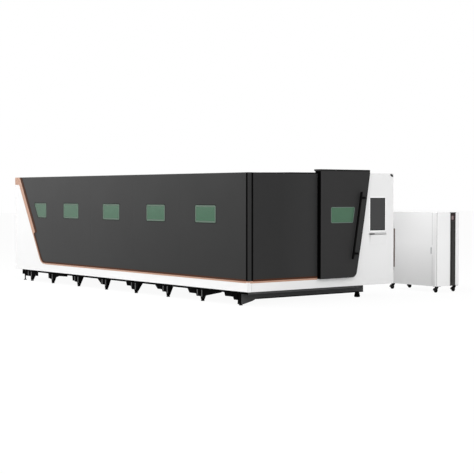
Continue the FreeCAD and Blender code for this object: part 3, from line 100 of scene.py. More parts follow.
sheet = bmesh.new()
bmesh.ops.create_grid(sheet, x_segments=1, y_segments=1, size=90)
floor_mesh = bpy.data.meshes.new("studio_floor")
sheet.to_mesh(floor_mesh)
sheet.free()
floor = bpy.data.objects.new("studio_floor", floor_mesh)
bpy.context.scene.collection.objects.link(floor)
floor_paint = bpy.data.materials.new("studio_floor")
floor_paint.use_nodes = True
floor_web = floor_paint.node_tree
floor_web.nodes.remove(floor_web.nodes["Principled BSDF"])
floor_matt = floor_web.nodes.new("ShaderNodeBsdfDiffuse")
floor_matt.inputs["Color"].default_value = (0.88, 0.88, 0.88, 1)
floor_white = floor_web.nodes.new("ShaderNodeEmission")
floor_white.inputs["Color"].default_value = (1, 1, 1, 1)
floor_white.inputs["Strength"].default_value = 1.0
floor_web.links.new(show_white(floor_web, floor_matt, floor_white, 0.94).outputs[0],
                    floor_web.nodes["Material Output"].inputs["Surface"])
floor_mesh.materials.append(floor_paint)

for name, place, aim, size, watts in (
        ("lamp_long_side", (-15, -13, 5.5), (-3, -2.4, 1), 7, 720),
        ("lamp_end_face", (17, 0, 6), (4, 1, 1), 7, 500),
        ("lamp_corner", (17, -14, 10), (3, 0, 1), 9, 950),
        ("lamp_over", (0, -5, 11), (2, 1, 1), 8, 1250)):
    soft = bpy.data.lights.new(name, "AREA")
    soft.shape = "SQUARE"
    soft.size = size
    soft.energy = watts
    lamp = bpy.data.objects.new(name, soft)
    lamp.matrix_world = (Matrix.Translation(place)
                         @ (Vector(aim) - Vector(place)).to_track_quat("-Z", "Y").to_matrix().to_4x4())
    bpy.context.scene.collection.objects.link(lamp)


# Base frame. The rails, sleepers and posts are steel box tube, welded up and then sprayed
# with black enamel; screwed feet level the frame on the floor.
def painted(name, colour, roughness, gloss, grain=420, depth=0.00012, drift=0.06, wear=None, painted_light_fade=None):
    """Sprayed paint: a fine orange peel, a slow drift in tone, scuffs, and painted light and shade along an
    axis.
    """
    paint = bpy.data.materials.new(name)
    paint.use_nodes = True
    web = paint.node_tree
    shader = web.nodes["Principled BSDF"]
    shader.inputs["Specular IOR Level"].default_value = gloss
    place = web.nodes.new("ShaderNodeTexCoord")
    slow = web.nodes.new("ShaderNodeTexNoise")
    slow.inputs["Scale"].default_value = 1.3
    slow.inputs["Detail"].default_value = 3
    tint = web.nodes.new("ShaderNodeMix")
    tint.data_type = "RGBA"
    tint.inputs[6].default_value = (*[c * (1 - drift) for c in colour], 1)
    tint.inputs[7].default_value = (*[min(1, c * (1 + drift)) for c in colour], 1)
    sheen = web.nodes.new("ShaderNodeMapRange")
    sheen.inputs["To Min"].default_value = roughness - 0.04
    sheen.inputs["To Max"].default_value = roughness + 0.04
    peel = web.nodes.new("ShaderNodeTexNoise")
    peel.inputs["Scale"].default_value = grain
    peel.inputs["Detail"].default_value = 2
    bump = web.nodes.new("ShaderNodeBump")
    bump.inputs["Distance"].default_value = depth
    bump.inputs["Strength"].default_value = 0.5
    web.links.new(place.outputs["Object"], slow.inputs["Vector"])
    web.links.new(place.outputs["Object"], peel.inputs["Vector"])
    web.links.new(slow.outputs["Fac"], tint.inputs["Factor"])
    web.links.new(slow.outputs["Fac"], sheen.inputs["Value"])
    web.links.new(sheen.outputs["Result"], shader.inputs["Roughness"])
    web.links.new(peel.outputs["Fac"], bump.inputs["Height"])
    web.links.new(bump.outputs["Normal"], shader.inputs["Normal"])
    colour_out = tint.outputs[2]
    if wear:
        scuffs = web.nodes.new("ShaderNodeTexNoise")
        scuffs.inputs["Scale"].default_value = 9
        scuffs.inputs["Detail"].default_value = 8
        scuffs.inputs["Roughness"].default_value = 0.7
        worn = web.nodes.new("ShaderNodeMapRange")
        worn.inputs["From Min"].default_value = 0.62
        worn.inputs["From Max"].default_value = 0.7
        scratched = web.nodes.new("ShaderNodeMix")
        scratched.data_type = "RGBA"
        scratched.inputs[7].default_value = (*wear, 1)
        web.links.new(place.outputs["Object"], scuffs.inputs["Vector"])
        web.links.new(scuffs.outputs["Fac"], worn.inputs["Value"])
        web.links.new(worn.outputs["Result"], scratched.inputs["Factor"])
        web.links.new(colour_out, scratched.inputs[6])
        colour_out = scratched.outputs[2]
    # Painted light and shade: the colour is scaled from 1 at `start` to `share` at `end` along one axis.
    if painted_light_fade:
        axis, start, end, share = painted_light_fade
        split = web.nodes.new("ShaderNodeSeparateXYZ")
        ramp = web.nodes.new("ShaderNodeMapRange")
        ramp.inputs["From Min"].default_value = start
        ramp.inputs["From Max"].default_value = end
        ramp.inputs["To Min"].default_value = 1
        ramp.inputs["To Max"].default_value = share
        painted_light_scale = web.nodes.new("ShaderNodeVectorMath")
        painted_light_scale.operation = "SCALE"
        web.links.new(place.outputs["Object"], split.inputs[0])
        web.links.new(split.outputs[axis], ramp.inputs["Value"])
        web.links.new(colour_out, painted_light_scale.inputs[0])
        web.links.new(ramp.outputs["Result"], painted_light_scale.inputs["Scale"])
        colour_out = painted_light_scale.outputs[0]
    web.links.new(colour_out, shader.inputs["Base Color"])
    return paint


def dress(material, *names):
    """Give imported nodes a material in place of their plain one."""
    for node in names:
        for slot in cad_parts[node].material_slots:
            slot.material = material


base_enamel = painted("base_enamel", (0.0022, 0.0022, 0.0022), 0.75, 0.01, grain=250, depth=0.0002)
dress(base_enamel, "base_rails", "sleepers", "foot_brackets", "levelling_feet", "frame_posts", "frame_rails")


# Foot brackets. Stepped steel plates, bolted under both rails with hexagon bolts. Each has
# two upright stiffeners welded to its outer side, painted lighter than the brackets as a
# painted highlight along their edges.
def piece(name, work, material, body):
    """Turn a finished bmesh into a piece that rides on a body and takes a node's finish."""
    mesh = bpy.data.meshes.new(name)
    bmesh.ops.recalc_face_normals(work, faces=work.faces)
    work.to_mesh(mesh)
    work.free()
    mesh.materials.append(material)
    made = bpy.data.objects.new(name, mesh)
    bpy.context.scene.collection.objects.link(made)
    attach(made, body)
    return made


def hex_bolt(work, centre, outward, across=0.018, height=0.008):
    """A hexagon head with a chamfered crown, its axis along `outward`."""
    turn = Vector(outward).to_track_quat("Z", "Y").to_matrix().to_4x4()
    seat = Vector(centre) + Vector(outward) * height / 2
    head = bmesh.ops.create_cone(work, cap_ends=True, segments=6, radius1=across / 2, radius2=across / 2,
                                 depth=height, matrix=Matrix.Translation(seat) @ turn)
    crown = [edge for vert in head["verts"] for edge in vert.link_edges
             if all((v.co - seat).dot(Vector(outward)) > 0 for v in edge.verts)]
    bmesh.ops.bevel(work, geom=list(set(crown)), offset=height * 0.2, segments=1, profile=0.5,
                    affect="EDGES", material=-1)


def slab(work, low, high, edge):
    """A flat plate or bar with rounded edges between two corners."""
    low, high = Vector(low), Vector(high)
    made = bmesh.ops.create_cube(work, size=1)["verts"]
    bmesh.ops.scale(work, vec=high - low, verts=made)
    bmesh.ops.translate(work, vec=(low + high) / 2, verts=made)
    edges = list({e for vert in made for e in vert.link_edges})
    bmesh.ops.bevel(work, geom=edges, offset=edge, segments=2, profile=0.5, affect="EDGES", material=-1)


rail_low, rail_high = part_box("base_rails")
bracket_low, bracket_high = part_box("foot_brackets")
beam_foot = end_face - 0.284
bracket_pitch = 1.071
last_bracket = 7.346
stations = [beam_foot - number * bracket_pitch for number in range(1, 7)] + [beam_foot - last_bracket]
stiffener_width = 0.016
bolts = bmesh.new()
stiffeners = bmesh.new()
for station in stations:
    for outer, inward in ((bracket_low.y, 1), (bracket_high.y, -1)):
        near, far = sorted((outer - 0.002 * inward, outer + 0.0125 * inward))
        for offset, drop in ((-0.128, 0.098), (0.006, 0.128)):
            slab(stiffeners, (station + offset, near, rail_low.z - drop),
                 (station + offset + stiffener_width, far, rail_low.z - 0.002), edge=0.002)
        for reach in (0.05, 0.09):
            hex_bolt(bolts, (station - reach, outer + 0.012 * inward, rail_low.z - 0.03), (0, -inward, 0))
piece("bracket_bolts", bolts, base_enamel, "machine")
# The stiffeners' lighter grey is a painted highlight.
stiffener_highlight = painted("stiffener_highlight", (0.10, 0.10, 0.10), 0.6, 0.15, grain=250)
piece("bracket_stiffeners", stiffeners, stiffener_highlight, "machine")


# End beam. A folded steel channel across the near end, under the rails, is dark grey with a
# black lower edge; a packer lies on its overhang, and a rubber boot covers its far foot. Thin
# grey plates, spot welded on, cover the front of the end sleeper and the ends of the rails.
beam_enamel = painted("beam_enamel", (0.059, 0.059, 0.060), 0.6, 0.06)
dress(beam_enamel, "end_beam")
beam_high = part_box("end_beam")[1]
sleeper_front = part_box("sleepers")[1].x
rail_width = 0.1
plate_gap = 0.0002
plate_sheet = 0.003
plate_foot = rail_low.z + 0.0005
plate_top = rail_low.z + 0.039
plate_edge = 0.001
cover = bmesh.new()
slab(cover, (sleeper_front + plate_gap, long_face + 0.14, plate_foot),
     (sleeper_front + plate_sheet, long_face + 2.5, plate_top), plate_edge)
slab(cover, (beam_high.x - 0.086, rail_high.y + 0.0035, beam_high.z + plate_gap),
     (beam_high.x, beam_high.y, beam_high.z + 0.012), plate_edge)
for rail_side in (rail_low.y, rail_high.y - rail_width):
    slab(cover, (rail_high.x + plate_gap, rail_side, plate_foot),
         (rail_high.x + plate_sheet, rail_side + rail_width, plate_top), plate_edge)
piece("end_sleeper_cover", cover, beam_enamel, "machine")
beam_underside = beam_high.z - 0.1047
beam_edge = bmesh.new()
slab(beam_edge, (beam_high.x - 0.001, long_face + 0.36, beam_underside - 0.002),
     (beam_high.x + 0.004, beam_high.y, beam_underside + 0.015), plate_edge)
piece("beam_edge_strip", beam_edge, base_enamel, "machine")
boot_height = 0.078
boot_place = Vector((beam_foot, beam_high.y - 0.11, 0.014 + boot_height / 2))
boot = bmesh.new()
bmesh.ops.create_cone(boot, cap_ends=True, segments=4, radius1=0.058, radius2=0.040, depth=boot_height,
                      matrix=Matrix.Translation(boot_place) @ Matrix.Rotation(math.pi / 4, 4, "Z"))
bmesh.ops.bevel(boot, geom=list(boot.edges), offset=0.004, segments=2, profile=0.5, affect="EDGES",
                material=-1)
piece("beam_foot_boot", boot, base_enamel, "machine")


# Bed and slat table. Welded and stress-relieved box beams carry ground rails and racks;
# the slats are saw-toothed strips of hot rolled plate, blued and spattered by cutting.
def bare_metal(name, colour, roughness, along="X", streak=90, depth=0.00005):
    """Machined metal with fine tool marks that run along one axis."""
    metal = bpy.data.materials.new(name)
    metal.use_nodes = True
    web = metal.node_tree
    shader = web.nodes["Principled BSDF"]
    shader.inputs["Metallic"].default_value = 1
    place = web.nodes.new("ShaderNodeTexCoord")
    stretch = web.nodes.new("ShaderNodeMapping")
    scale = {"X": (1, streak, streak), "Y": (streak, 1, streak), "Z": (streak, streak, 1)}[along]
    stretch.inputs["Scale"].default_value = scale
    marks = web.nodes.new("ShaderNodeTexNoise")
    marks.inputs["Scale"].default_value = 6
    marks.inputs["Detail"].default_value = 4
    tint = web.nodes.new("ShaderNodeMix")
    tint.data_type = "RGBA"
    tint.inputs[6].default_value = (*[c * 0.85 for c in colour], 1)
    tint.inputs[7].default_value = (*[min(1, c * 1.12) for c in colour], 1)
    gloss = web.nodes.new("ShaderNodeMapRange")
    gloss.inputs["To Min"].default_value = roughness - 0.08
    gloss.inputs["To Max"].default_value = roughness + 0.08
    bump = web.nodes.new("ShaderNodeBump")
    bump.inputs["Distance"].default_value = depth
    web.links.new(place.outputs["Object"], stretch.inputs["Vector"])
    web.links.new(stretch.outputs["Vector"], marks.inputs["Vector"])
    web.links.new(marks.outputs["Fac"], tint.inputs["Factor"])
    web.links.new(marks.outputs["Fac"], gloss.inputs["Value"])
    web.links.new(marks.outputs["Fac"], bump.inputs["Height"])
    web.links.new(tint.outputs[2], shader.inputs["Base Color"])
    web.links.new(gloss.outputs["Result"], shader.inputs["Roughness"])
    web.links.new(bump.outputs["Normal"], shader.inputs["Normal"])
    return metal


dress(painted("bed_grey", (0.22, 0.23, 0.24), 0.45, 0.4, grain=160, depth=0.0003), "bed_frame")
dress(bare_metal("ground_rail", (0.62, 0.63, 0.65), 0.22, "X"), "x_rails")
dress(bare_metal("cut_rack", (0.42, 0.43, 0.45), 0.35, "Y", streak=40, depth=0.0004), "x_racks")
dress(painted("table_enamel", (0.10, 0.10, 0.105), 0.6, 0.3, wear=(0.22, 0.17, 0.13)), "table_frame")
dress(painted("blued_plate", (0.16, 0.14, 0.13), 0.55, 0.6, grain=120, depth=0.0006, drift=0.35,
              wear=(0.30, 0.21, 0.15)), "slats")


# Dark cladding. The panels of both long sides and of the end face, the corner post, the
# sliding door, the loading gate and the gate's guides are folded steel sheet with a fine
# textured black powder coat.
dress(painted("cladding_black", (0.0118, 0.0118, 0.0119), 0.5, 0.22),
      "back_panels", "corner_post", "loading_gate")
# The long sides, end face and sliding door get lit and shaded copies of this one black coat, each in its own
# tone and gloss as painted light; the long sides darken towards the near corner as a painted reflection.
dress(painted("side_black_painted_reflection", (0.0165, 0.0165, 0.0166), 0.5, 0.22, painted_light_fade=("X", -3.6, 1.5, 0.38)), "side_panels")
# The end panels lighten towards the door, painted light over the shade beside it.
dress(painted("end_black_painted_light", (0.0205, 0.0205, 0.0207), 0.55, 0.1, painted_light_fade=("Y", -1.9, -1.06, 1.35)), "end_panels")
# The door's tone and low gloss are painted light against the reflection of its pull bar.
dress(painted("door_black_painted_light", (0.0310, 0.0307, 0.0309), 0.6, 0.03), "sliding_door")
dress(painted("guide_black", (0.02, 0.02, 0.02), 0.5, 0.3), "gate_guides")


# Corner seals. Extruded rubber gaskets lie in the joints beside the corner post and are
# pressed into place from outside; their near-black is also painted shadow in the recessed joints.
seal_rubber = painted("seal_rubber", (0.0012, 0.0012, 0.0012), 0.85, 0.02, grain=900)
dress(seal_rubber, "gaskets")
panel_low, panel_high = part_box("side_panels")
seal_proud = 0.002
seal_edge = 0.0009
corner_seals = bmesh.new()
slab(corner_seals, (end_face - 0.052, long_face - seal_proud, panel_low.z),
     (end_face - 0.009, long_face + seal_proud, panel_high.z), seal_edge)
slab(corner_seals, (end_face - seal_proud, long_face + 0.078, panel_low.z),
     (end_face + seal_proud, long_face + 0.112, panel_high.z), seal_edge)
piece("corner_seals", corner_seals, seal_rubber, "machine")


# Rain cap. A rubber strip is clipped over the upper edge of the end panels, and rises
# a little towards the sliding door.
def ribbon(work, outer, inner, normal, proud):
    """A flat trim between two edges that run side by side, raised along `normal`."""
    rows = [[work.verts.new(corner) for corner in edge] for edge in (outer, inner)]
    strip = [work.faces.new((a, b, d, c)) for a, b, c, d in zip(rows[0], rows[0][1:], rows[1], rows[1][1:])]
    raised = bmesh.ops.extrude_face_region(work, geom=strip)["geom"]
    bmesh.ops.translate(work, vec=Vector(normal) * proud,
                        verts=[item for item in raised if isinstance(item, bmesh.types.BMVert)])


rain_cap = bmesh.new()
crest = [(end_face - 0.017, long_face + side, panel_high.z + rise)
         for side, rise in ((0.30, 0.001), (0.60, 0.004), (0.92, 0.010), (1.535, 0.0125))]
ribbon(rain_cap, crest, [(x, y, panel_high.z - 0.012) for x, y, z in crest], (1, 0, 0), proud=0.018)
cap_rubber = painted("cap_rubber", (0.009, 0.009, 0.009), 0.7, 0.1, grain=700)
piece("end_rain_cap", rain_cap, cap_rubber, "machine")


# White cladding. Skirts, tail panel, loading end and console are folded steel sheet with a
# smooth white powder coat; the roof sheets, screwed down on the rails, have a light grey one,
# which is painted shade against the strong light from above.
dress(painted("cladding_white", (0.70, 0.70, 0.70), 0.42, 0.35, drift=0.01),
      "skirt_panels", "tail_panel", "loading_panels", "console_shell", "console_door")
dress(painted("roof_painted_shade", (0.40, 0.405, 0.41), 0.5, 0.3, drift=0.04), "roof_panels")


# Accent strips. Terracotta painted steel strips stand proud of the cladding, down the slanted
# tail and along the foot of the dark panels. A dark brown strip stands proud inside them,
# round the tail's lower corner too.
accent_orange = painted("accent_orange", (0.400, 0.228, 0.157), 0.4, 0.3, drift=0.04)
dress(accent_orange, "accent_strips")
strip_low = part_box("accent_strips")[0]
panel_foot = strip_low.z + 0.0244
tail_top = end_face - 8.191
tail_lean = 0.575
tail_corner = 0.2
trim_inset = 0.045
step_out = 0.086
step_start = 1.172
step_end = 1.217


def tail_edge(inset):
    """Points down the slanted tail edge, past the step in it, round the corner and along the foot."""
    slope = math.atan(tail_lean)
    foot = panel_foot - 0.004 + max(0, inset - trim_inset) * 0.6
    points = [(tail_top + step_out + inset, panel_high.z - 0.004),
              (tail_top + step_out + inset + tail_lean * step_start, panel_high.z - step_start),
              (tail_top + inset + tail_lean * step_end, panel_high.z - step_end)]
    foot_x = tail_top + inset + tail_lean * (panel_high.z - foot)
    reach = tail_corner * math.tan(math.radians(45) - slope / 2)
    for step in range(9):
        angle = math.pi + slope + (math.pi / 2 - slope) * step / 8
        points.append((foot_x + reach + tail_corner * math.cos(angle),
                       foot + tail_corner * (1 + math.sin(angle))))
    points.append((end_face - 0.046, foot))
    return [Vector((x, long_face + 0.0005, z)) for x, z in points]


trim_proud = 0.0045
inner_edge = tail_edge(0.128)[:2] + tail_edge(0.098)[2:]
edge_trim = bmesh.new()
ribbon(edge_trim, tail_edge(trim_inset), inner_edge, (0, -1, 0), trim_proud)
door_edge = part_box("sliding_door")[0].y
end_run = [(end_face - 0.0005, side, panel_foot - 0.007) for side in (long_face + 0.108, door_edge - 0.004)]
ribbon(edge_trim, end_run, [(x, y, z + 0.033) for x, y, z in end_run], (1, 0, 0), trim_proud)
trim_brown = painted("trim_brown", (0.052, 0.019, 0.009), 0.6, 0.08, grain=700)
piece("edge_trim", edge_trim, trim_brown, "machine")


# Strip lip. The painted strips end below in a narrow folded lip, spot welded over the
# joint to the skirt.
lip_proud = 0.0022
lip_top = strip_low.z + 0.001
strip_lip = bmesh.new()
lip_run = [(side, long_face + 0.0005, lip_top) for side in (end_face - 6.95, end_face - 0.05)]
ribbon(strip_lip, lip_run, [(x, y, z - 0.010) for x, y, z in lip_run], (0, -1, 0), lip_proud)
lip_end = [(end_face - 0.0005, side, lip_top) for side in (long_face + 0.05, door_edge - 0.004)]
ribbon(strip_lip, lip_end, [(x, y, z - 0.014) for x, y, z in lip_end], (1, 0, 0), lip_proud)
piece("strip_lip", strip_lip, accent_orange, "machine")


# Windows. Laser safety panes of green glass, clipped into black rubber seals, with a
# grey-green moulded rim round the inside of each pane.
def safety_glass(name, colour, far_colour, start, end):
    """Tinted glass: a smooth glossy skin, and a tone that drifts at random and along X from `colour` to
    `far_colour`.
    """
    glass = bpy.data.materials.new(name)
    glass.use_nodes = True
    web = glass.node_tree
    shader = web.nodes["Principled BSDF"]
    shader.inputs["Roughness"].default_value = 0.15
    shader.inputs["Specular IOR Level"].default_value = 0.42
    place = web.nodes.new("ShaderNodeTexCoord")
    slow = web.nodes.new("ShaderNodeTexNoise")
    slow.inputs["Scale"].default_value = 2.5
    split = web.nodes.new("ShaderNodeSeparateXYZ")
    total = web.nodes.new("ShaderNodeMath")
    spread = web.nodes.new("ShaderNodeMapRange")
    spread.inputs["From Min"].default_value = start
    spread.inputs["From Max"].default_value = end
    tint = web.nodes.new("ShaderNodeMix")
    tint.data_type = "RGBA"
    tint.inputs[6].default_value = (*colour, 1)
    tint.inputs[7].default_value = (*far_colour, 1)
    web.links.new(place.outputs["Object"], slow.inputs["Vector"])
    web.links.new(place.outputs["Object"], split.inputs[0])
    web.links.new(split.outputs["X"], total.inputs[0])
    web.links.new(slow.outputs["Fac"], total.inputs[1])
    web.links.new(total.outputs[0], spread.inputs["Value"])
    web.links.new(spread.outputs["Result"], tint.inputs["Factor"])
    web.links.new(tint.outputs[2], shader.inputs["Base Color"])
    return glass


def rim(work, outline, normal, radius, width, height):
    """A flat moulded rim inside a rounded outline, raised along `normal`."""
    face = work.faces.new([work.verts.new(corner) for corner in outline])
    bent = bmesh.ops.bevel(work, geom=list(face.verts), offset=radius, segments=5, profile=0.5,
                           affect="VERTICES", material=-1)
    field = max((f for f in work.faces if set(f.verts) & set(bent["verts"])), key=lambda f: f.calc_area())
    bmesh.ops.inset_region(work, faces=[field], thickness=width, use_even_offset=True, use_boundary=True)
    ring = [f for f in work.faces if f is not field and set(f.verts) & set(bent["verts"])]
    bmesh.ops.delete(work, geom=[field], context="FACES_ONLY")
    raised = bmesh.ops.extrude_face_region(work, geom=ring)
    bmesh.ops.translate(work, vec=Vector(normal) * height,
                        verts=[g for g in raised["geom"] if isinstance(g, bmesh.types.BMVert)])


# The side panes darken along X towards the near corner, a painted reflection that leaves the far panes
# lighter.
dress(safety_glass("pane_green", (0.042, 0.103, 0.061), (0.021, 0.086, 0.042), -2.4, 2.6), "side_windows")
dress(safety_glass("door_pane_green", (0.033, 0.095, 0.052), (0.038, 0.105, 0.057), 4.3, 4.8), "door_window")
pane_low, pane_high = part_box("side_windows")
first_pane = 1.198
pane_pitch = 1.551
half_pane = 0.3034
slanted_pane_side = end_face - 6.880
slanted_pane_foot = pane_low.x + 0.174
outlines = []
for number in range(4):
    centre = end_face - first_pane - number * pane_pitch
    left, right = centre - half_pane, centre + half_pane
    outlines.append([(left, pane_low.z), (right, pane_low.z), (right, pane_high.z), (left, pane_high.z)])
outlines.append([(slanted_pane_foot, pane_low.z), (slanted_pane_side, pane_low.z),
                 (slanted_pane_side, pane_high.z), (pane_low.x, pane_high.z)])
side_rims = bmesh.new()
for outline in outlines:
    rim(side_rims, [(x, pane_low.y, z) for x, z in outline], (0, -1, 0), radius=0.025, width=0.03,
        height=0.0015)
rim_green = painted("rim_green", (0.088, 0.128, 0.100), 0.6, 0.15, grain=600)
piece("side_window_rims", side_rims, rim_green, "machine")


# Sliding door. A folded leaf with a slanted edge hangs from a cap on two hangers, which run
# in an anodised track; its pull bar is welded flat steel. A rubber bead, clipped to the
# slanted edge, closes it against the console.
door_low, door_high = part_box("sliding_door")
door_lean = 0.1772
dress(painted("cap_black", (0.010, 0.010, 0.010), 0.5, 0.1), "door_cap")
dress(painted("handle_black", (0.002, 0.002, 0.002), 0.6, 0.02), "door_handle")
dress(bare_metal("anodised_track", (0.5, 0.5, 0.51), 0.4, "Y"), "door_track")
closing_bead = bmesh.new()
bead_line = [(door_high.x - 0.0115, door_high.y - door_lean * (door_high.z - height), height, reach)
             for height, reach in ((0.56, 0.001), (0.9, 0.008), (1.4, 0.013), (1.9, 0.009), (2.27, 0.005))]
ribbon(closing_bead, [(x, y - 0.002, z) for x, y, z, reach in bead_line],
       [(x, y + reach, z) for x, y, z, reach in bead_line], (1, 0, 0), proud=0.012)
piece("door_closing_bead", closing_bead, seal_rubber, "door")


# Door window rim. The same moulded rim as the side windows have, with one slanted side,
# glued on the pane from inside.
glass_low, glass_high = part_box("door_window")
glass_slant = 0.05
pane_corners = [(glass_high.x, side, height) for side, height in (
    (glass_low.y, glass_low.z), (glass_high.y - glass_slant, glass_low.z),
    (glass_high.y, glass_high.z), (glass_low.y, glass_high.z))]
door_rim = bmesh.new()
rim(door_rim, pane_corners, (1, 0, 0), radius=0.03, width=0.028, height=0.0018)
door_rim_green = painted("door_rim_green", (0.085, 0.13, 0.105), 0.5, 0.3, grain=600)
piece("door_window_rim", door_rim, door_rim_green, "door")


# Brush seal. Rows of black nylon brush on a thin backing, riveted to the door's near flank,
# keep sparks in where the door passes the end panel; their near-black is painted shadow on the flank.
brush_rows = 13
brush_pitch = 0.0059
flank = bmesh.new()
flank_height = door_high.z - door_low.z
flank_middle = (door_low.z + door_high.z) / 2
for row in range(brush_rows):
    place = (door_low.x + 0.003 + row * brush_pitch, door_low.y - 0.0015, flank_middle)
    strip = bmesh.ops.create_cube(flank, size=1)["verts"]
    bmesh.ops.scale(flank, vec=(0.0042, 0.003, flank_height - 0.004), verts=strip)
    bmesh.ops.translate(flank, vec=place, verts=strip)
place = ((door_low.x + door_high.x) / 2, door_low.y - 0.0006, flank_middle)
backing = bmesh.ops.create_cube(flank, size=1)["verts"]
bmesh.ops.scale(flank, vec=(0.076, 0.0012, flank_height - 0.002), verts=backing)
bmesh.ops.translate(flank, vec=place, verts=backing)
brush_painted_shadow = painted("brush_painted_shadow", (0.0015, 0.0015, 0.0015), 0.95, 0.02, grain=900)
piece("door_brush_seal", flank, brush_painted_shadow, "door")


# Console screen. A dark coated glass lies in the bezel of the screen, and a gloss white
# moulded surround clips over the cut-out in the console's front. The rack behind it is grey
# painted steel, and the latch of the service door is cast and painted black.
dress(painted("monitor_bezel", (0.020, 0.020, 0.020), 0.45, 0.2), "monitor")
dress(painted("rack_grey", (0.42, 0.43, 0.43), 0.45, 0.4), "control_rack")
dress(painted("latch_black", (0.03, 0.03, 0.03), 0.4, 0.4), "console_latch")
bezel = 0.0145
screen_low, screen_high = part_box("monitor")
screen = bmesh.new()
slab(screen, (screen_high.x - 0.0024, screen_low.y + bezel, screen_low.z + bezel),
     (screen_high.x - 0.0006, screen_high.y - bezel, screen_high.z - bezel), edge=0.0005)
screen_dark = painted("screen_dark", (0.030, 0.030, 0.0305), 0.3, 0.3, grain=1200, depth=0.00001, drift=0.03)
piece("monitor_glass", screen, screen_dark, "machine")
surround_edge = 0.017
left, right = screen_low.y - surround_edge, screen_high.y + surround_edge
foot, head = screen_low.z - surround_edge, screen_high.z + surround_edge
surround_corners = [(end_face + 0.0002, side, height) for side, height in (
    (left, foot), (right, foot), (right, head), (left, head))]
surround = bmesh.new()
rim(surround, surround_corners, (1, 0, 0), radius=0.004, width=0.015, height=0.0016)
gloss_white = painted("gloss_white", (0.88, 0.88, 0.88), 0.3, 0.5, drift=0.01)
piece("monitor_surround", surround, gloss_white, "machine")


# Keyboard. Moulded black key caps snap on in five rows, with a wide bar in the front row;
# the grey steel drawer under them has a black pull screwed to its edge.
dress(painted("tray_grey", (0.46, 0.46, 0.46), 0.45, 0.3), "keyboard_tray")
key_black = painted("key_black", (0.02, 0.02, 0.02), 0.6, 0.3, grain=700)
dress(key_black, "keyboard")
keys_low, keys_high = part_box("keyboard")
key_margin = 0.006
key_rows = 5
key_columns = 15
row_pitch = (keys_high.x - keys_low.x - 2 * key_margin) / key_rows
key_pitch = (keys_high.y - keys_low.y - 2 * key_margin) / key_columns
bar_column = 4
bar_span = 6
keys = bmesh.new()
for row in range(key_rows):
    front = keys_high.x - key_margin - row * row_pitch
    top = keys_low.z + 0.0125 + 0.008 * (row + 0.5) / key_rows
    spans = {column: 1 for column in range(key_columns)}
    if row == 0:
        spans = {column: 1 for column in spans if not bar_column < column < bar_column + bar_span}
        spans[bar_column] = bar_span
    for column, span in spans.items():
        side = keys_low.y + key_margin + column * key_pitch
        slab(keys, (front - row_pitch + 0.002, side + 0.001, top - 0.002),
             (front - 0.002, side + span * key_pitch - 0.001, top + 0.0035), edge=0.001)
key_caps = painted("key_caps", (0.045, 0.045, 0.047), 0.55, 0.35, grain=700)
piece("keyboard_keys", keys, key_caps, "tray")
tray_low, tray_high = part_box("keyboard_tray")
pull = bmesh.new()
slab(pull, (tray_high.x - 0.001, tray_low.y + 0.012, tray_low.z + 0.004),
     (tray_high.x + 0.009, tray_low.y + 0.125, tray_high.z - 0.006), edge=0.003)
piece("tray_pull", pull, key_black, "tray")


# Console plug. An oval black rubber plug is pressed into a spare cable hole in the upper
# corner of the console's front.
plug_width = 0.082
plug_height = 0.042
plug_proud = 0.006
plug_lean = 62
console_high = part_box("console_shell")[1]
plug = bmesh.new()
rose = bmesh.ops.create_circle(plug, cap_ends=True, segments=32, radius=0.5)["verts"]
bmesh.ops.scale(plug, vec=(plug_width, plug_height, 1), verts=rose)
lean = Matrix.Rotation(math.radians(90), 3, "Y") @ Matrix.Rotation(math.radians(plug_lean), 3, "Z")
bmesh.ops.rotate(plug, cent=(0, 0, 0), matrix=lean, verts=rose)
bmesh.ops.translate(plug, vec=(end_face, console_high.y - 0.047, console_high.z - 0.036), verts=rose)
crown = bmesh.ops.extrude_face_region(plug, geom=list(plug.faces))["geom"]
crown_face = [item for item in crown if isinstance(item, bmesh.types.BMFace)]
bmesh.ops.translate(plug, vec=(plug_proud, 0, 0), verts=[v for face in crown_face for v in face.verts])
bmesh.ops.bevel(plug, geom=[edge for face in crown_face for edge in face.edges], offset=0.002, segments=2,
                profile=0.5, affect="EDGES", material=-1)
piece("console_plug", plug, key_black, "machine")


# Gantry and head. An extruded aluminium beam on machined end carriages, with black
# servo motors; the head carriage and Z slide are milled plate with a capacitive head.
dress(bare_metal("beam_aluminium", (0.66, 0.67, 0.68), 0.35, "Y"), "gantry_beam")
dress(bare_metal("machined_steel", (0.36, 0.37, 0.39), 0.32, "X"), "gantry_ends")
dress(painted("motor_black", (0.02, 0.02, 0.02), 0.4, 0.4), "gantry_motors")
dress(bare_metal("cross_rail", (0.62, 0.63, 0.65), 0.22, "Y"), "y_rails")
dress(bare_metal("milled_plate", (0.5, 0.51, 0.53), 0.3, "Z"), "head_carriage", "z_slide")
dress(bare_metal("head_anodised", (0.12, 0.13, 0.15), 0.35, "Z"), "cutting_head")


# Laser source cabinet. A cabinet folded from steel sheet, powder coated white, on casters.
# Its one door has a brown moulded strip along the hinge edge and a small turning latch.
dress(painted("cabinet_white", (0.76, 0.76, 0.76), 0.42, 0.35, drift=0.01), "cabinet_shell")
# The door's white darkens towards the bottom: painted shade.
door_white = painted("cabinet_door_white_painted_shade", (0.765, 0.765, 0.765), 0.42, 0.35, drift=0.01,
                     painted_light_fade=("Z", 0.95, 0.12, 0.74))
dress(door_white, "cabinet_door")
dress(painted("latch_grey", (0.42, 0.42, 0.43), 0.35, 0.5), "cabinet_latch")
dress(painted("handle_brown", (0.085, 0.05, 0.036), 0.45, 0.3, drift=0.04), "cabinet_trim")
dress(painted("source_blue", (0.30, 0.32, 0.35), 0.4, 0.5), "laser_source")


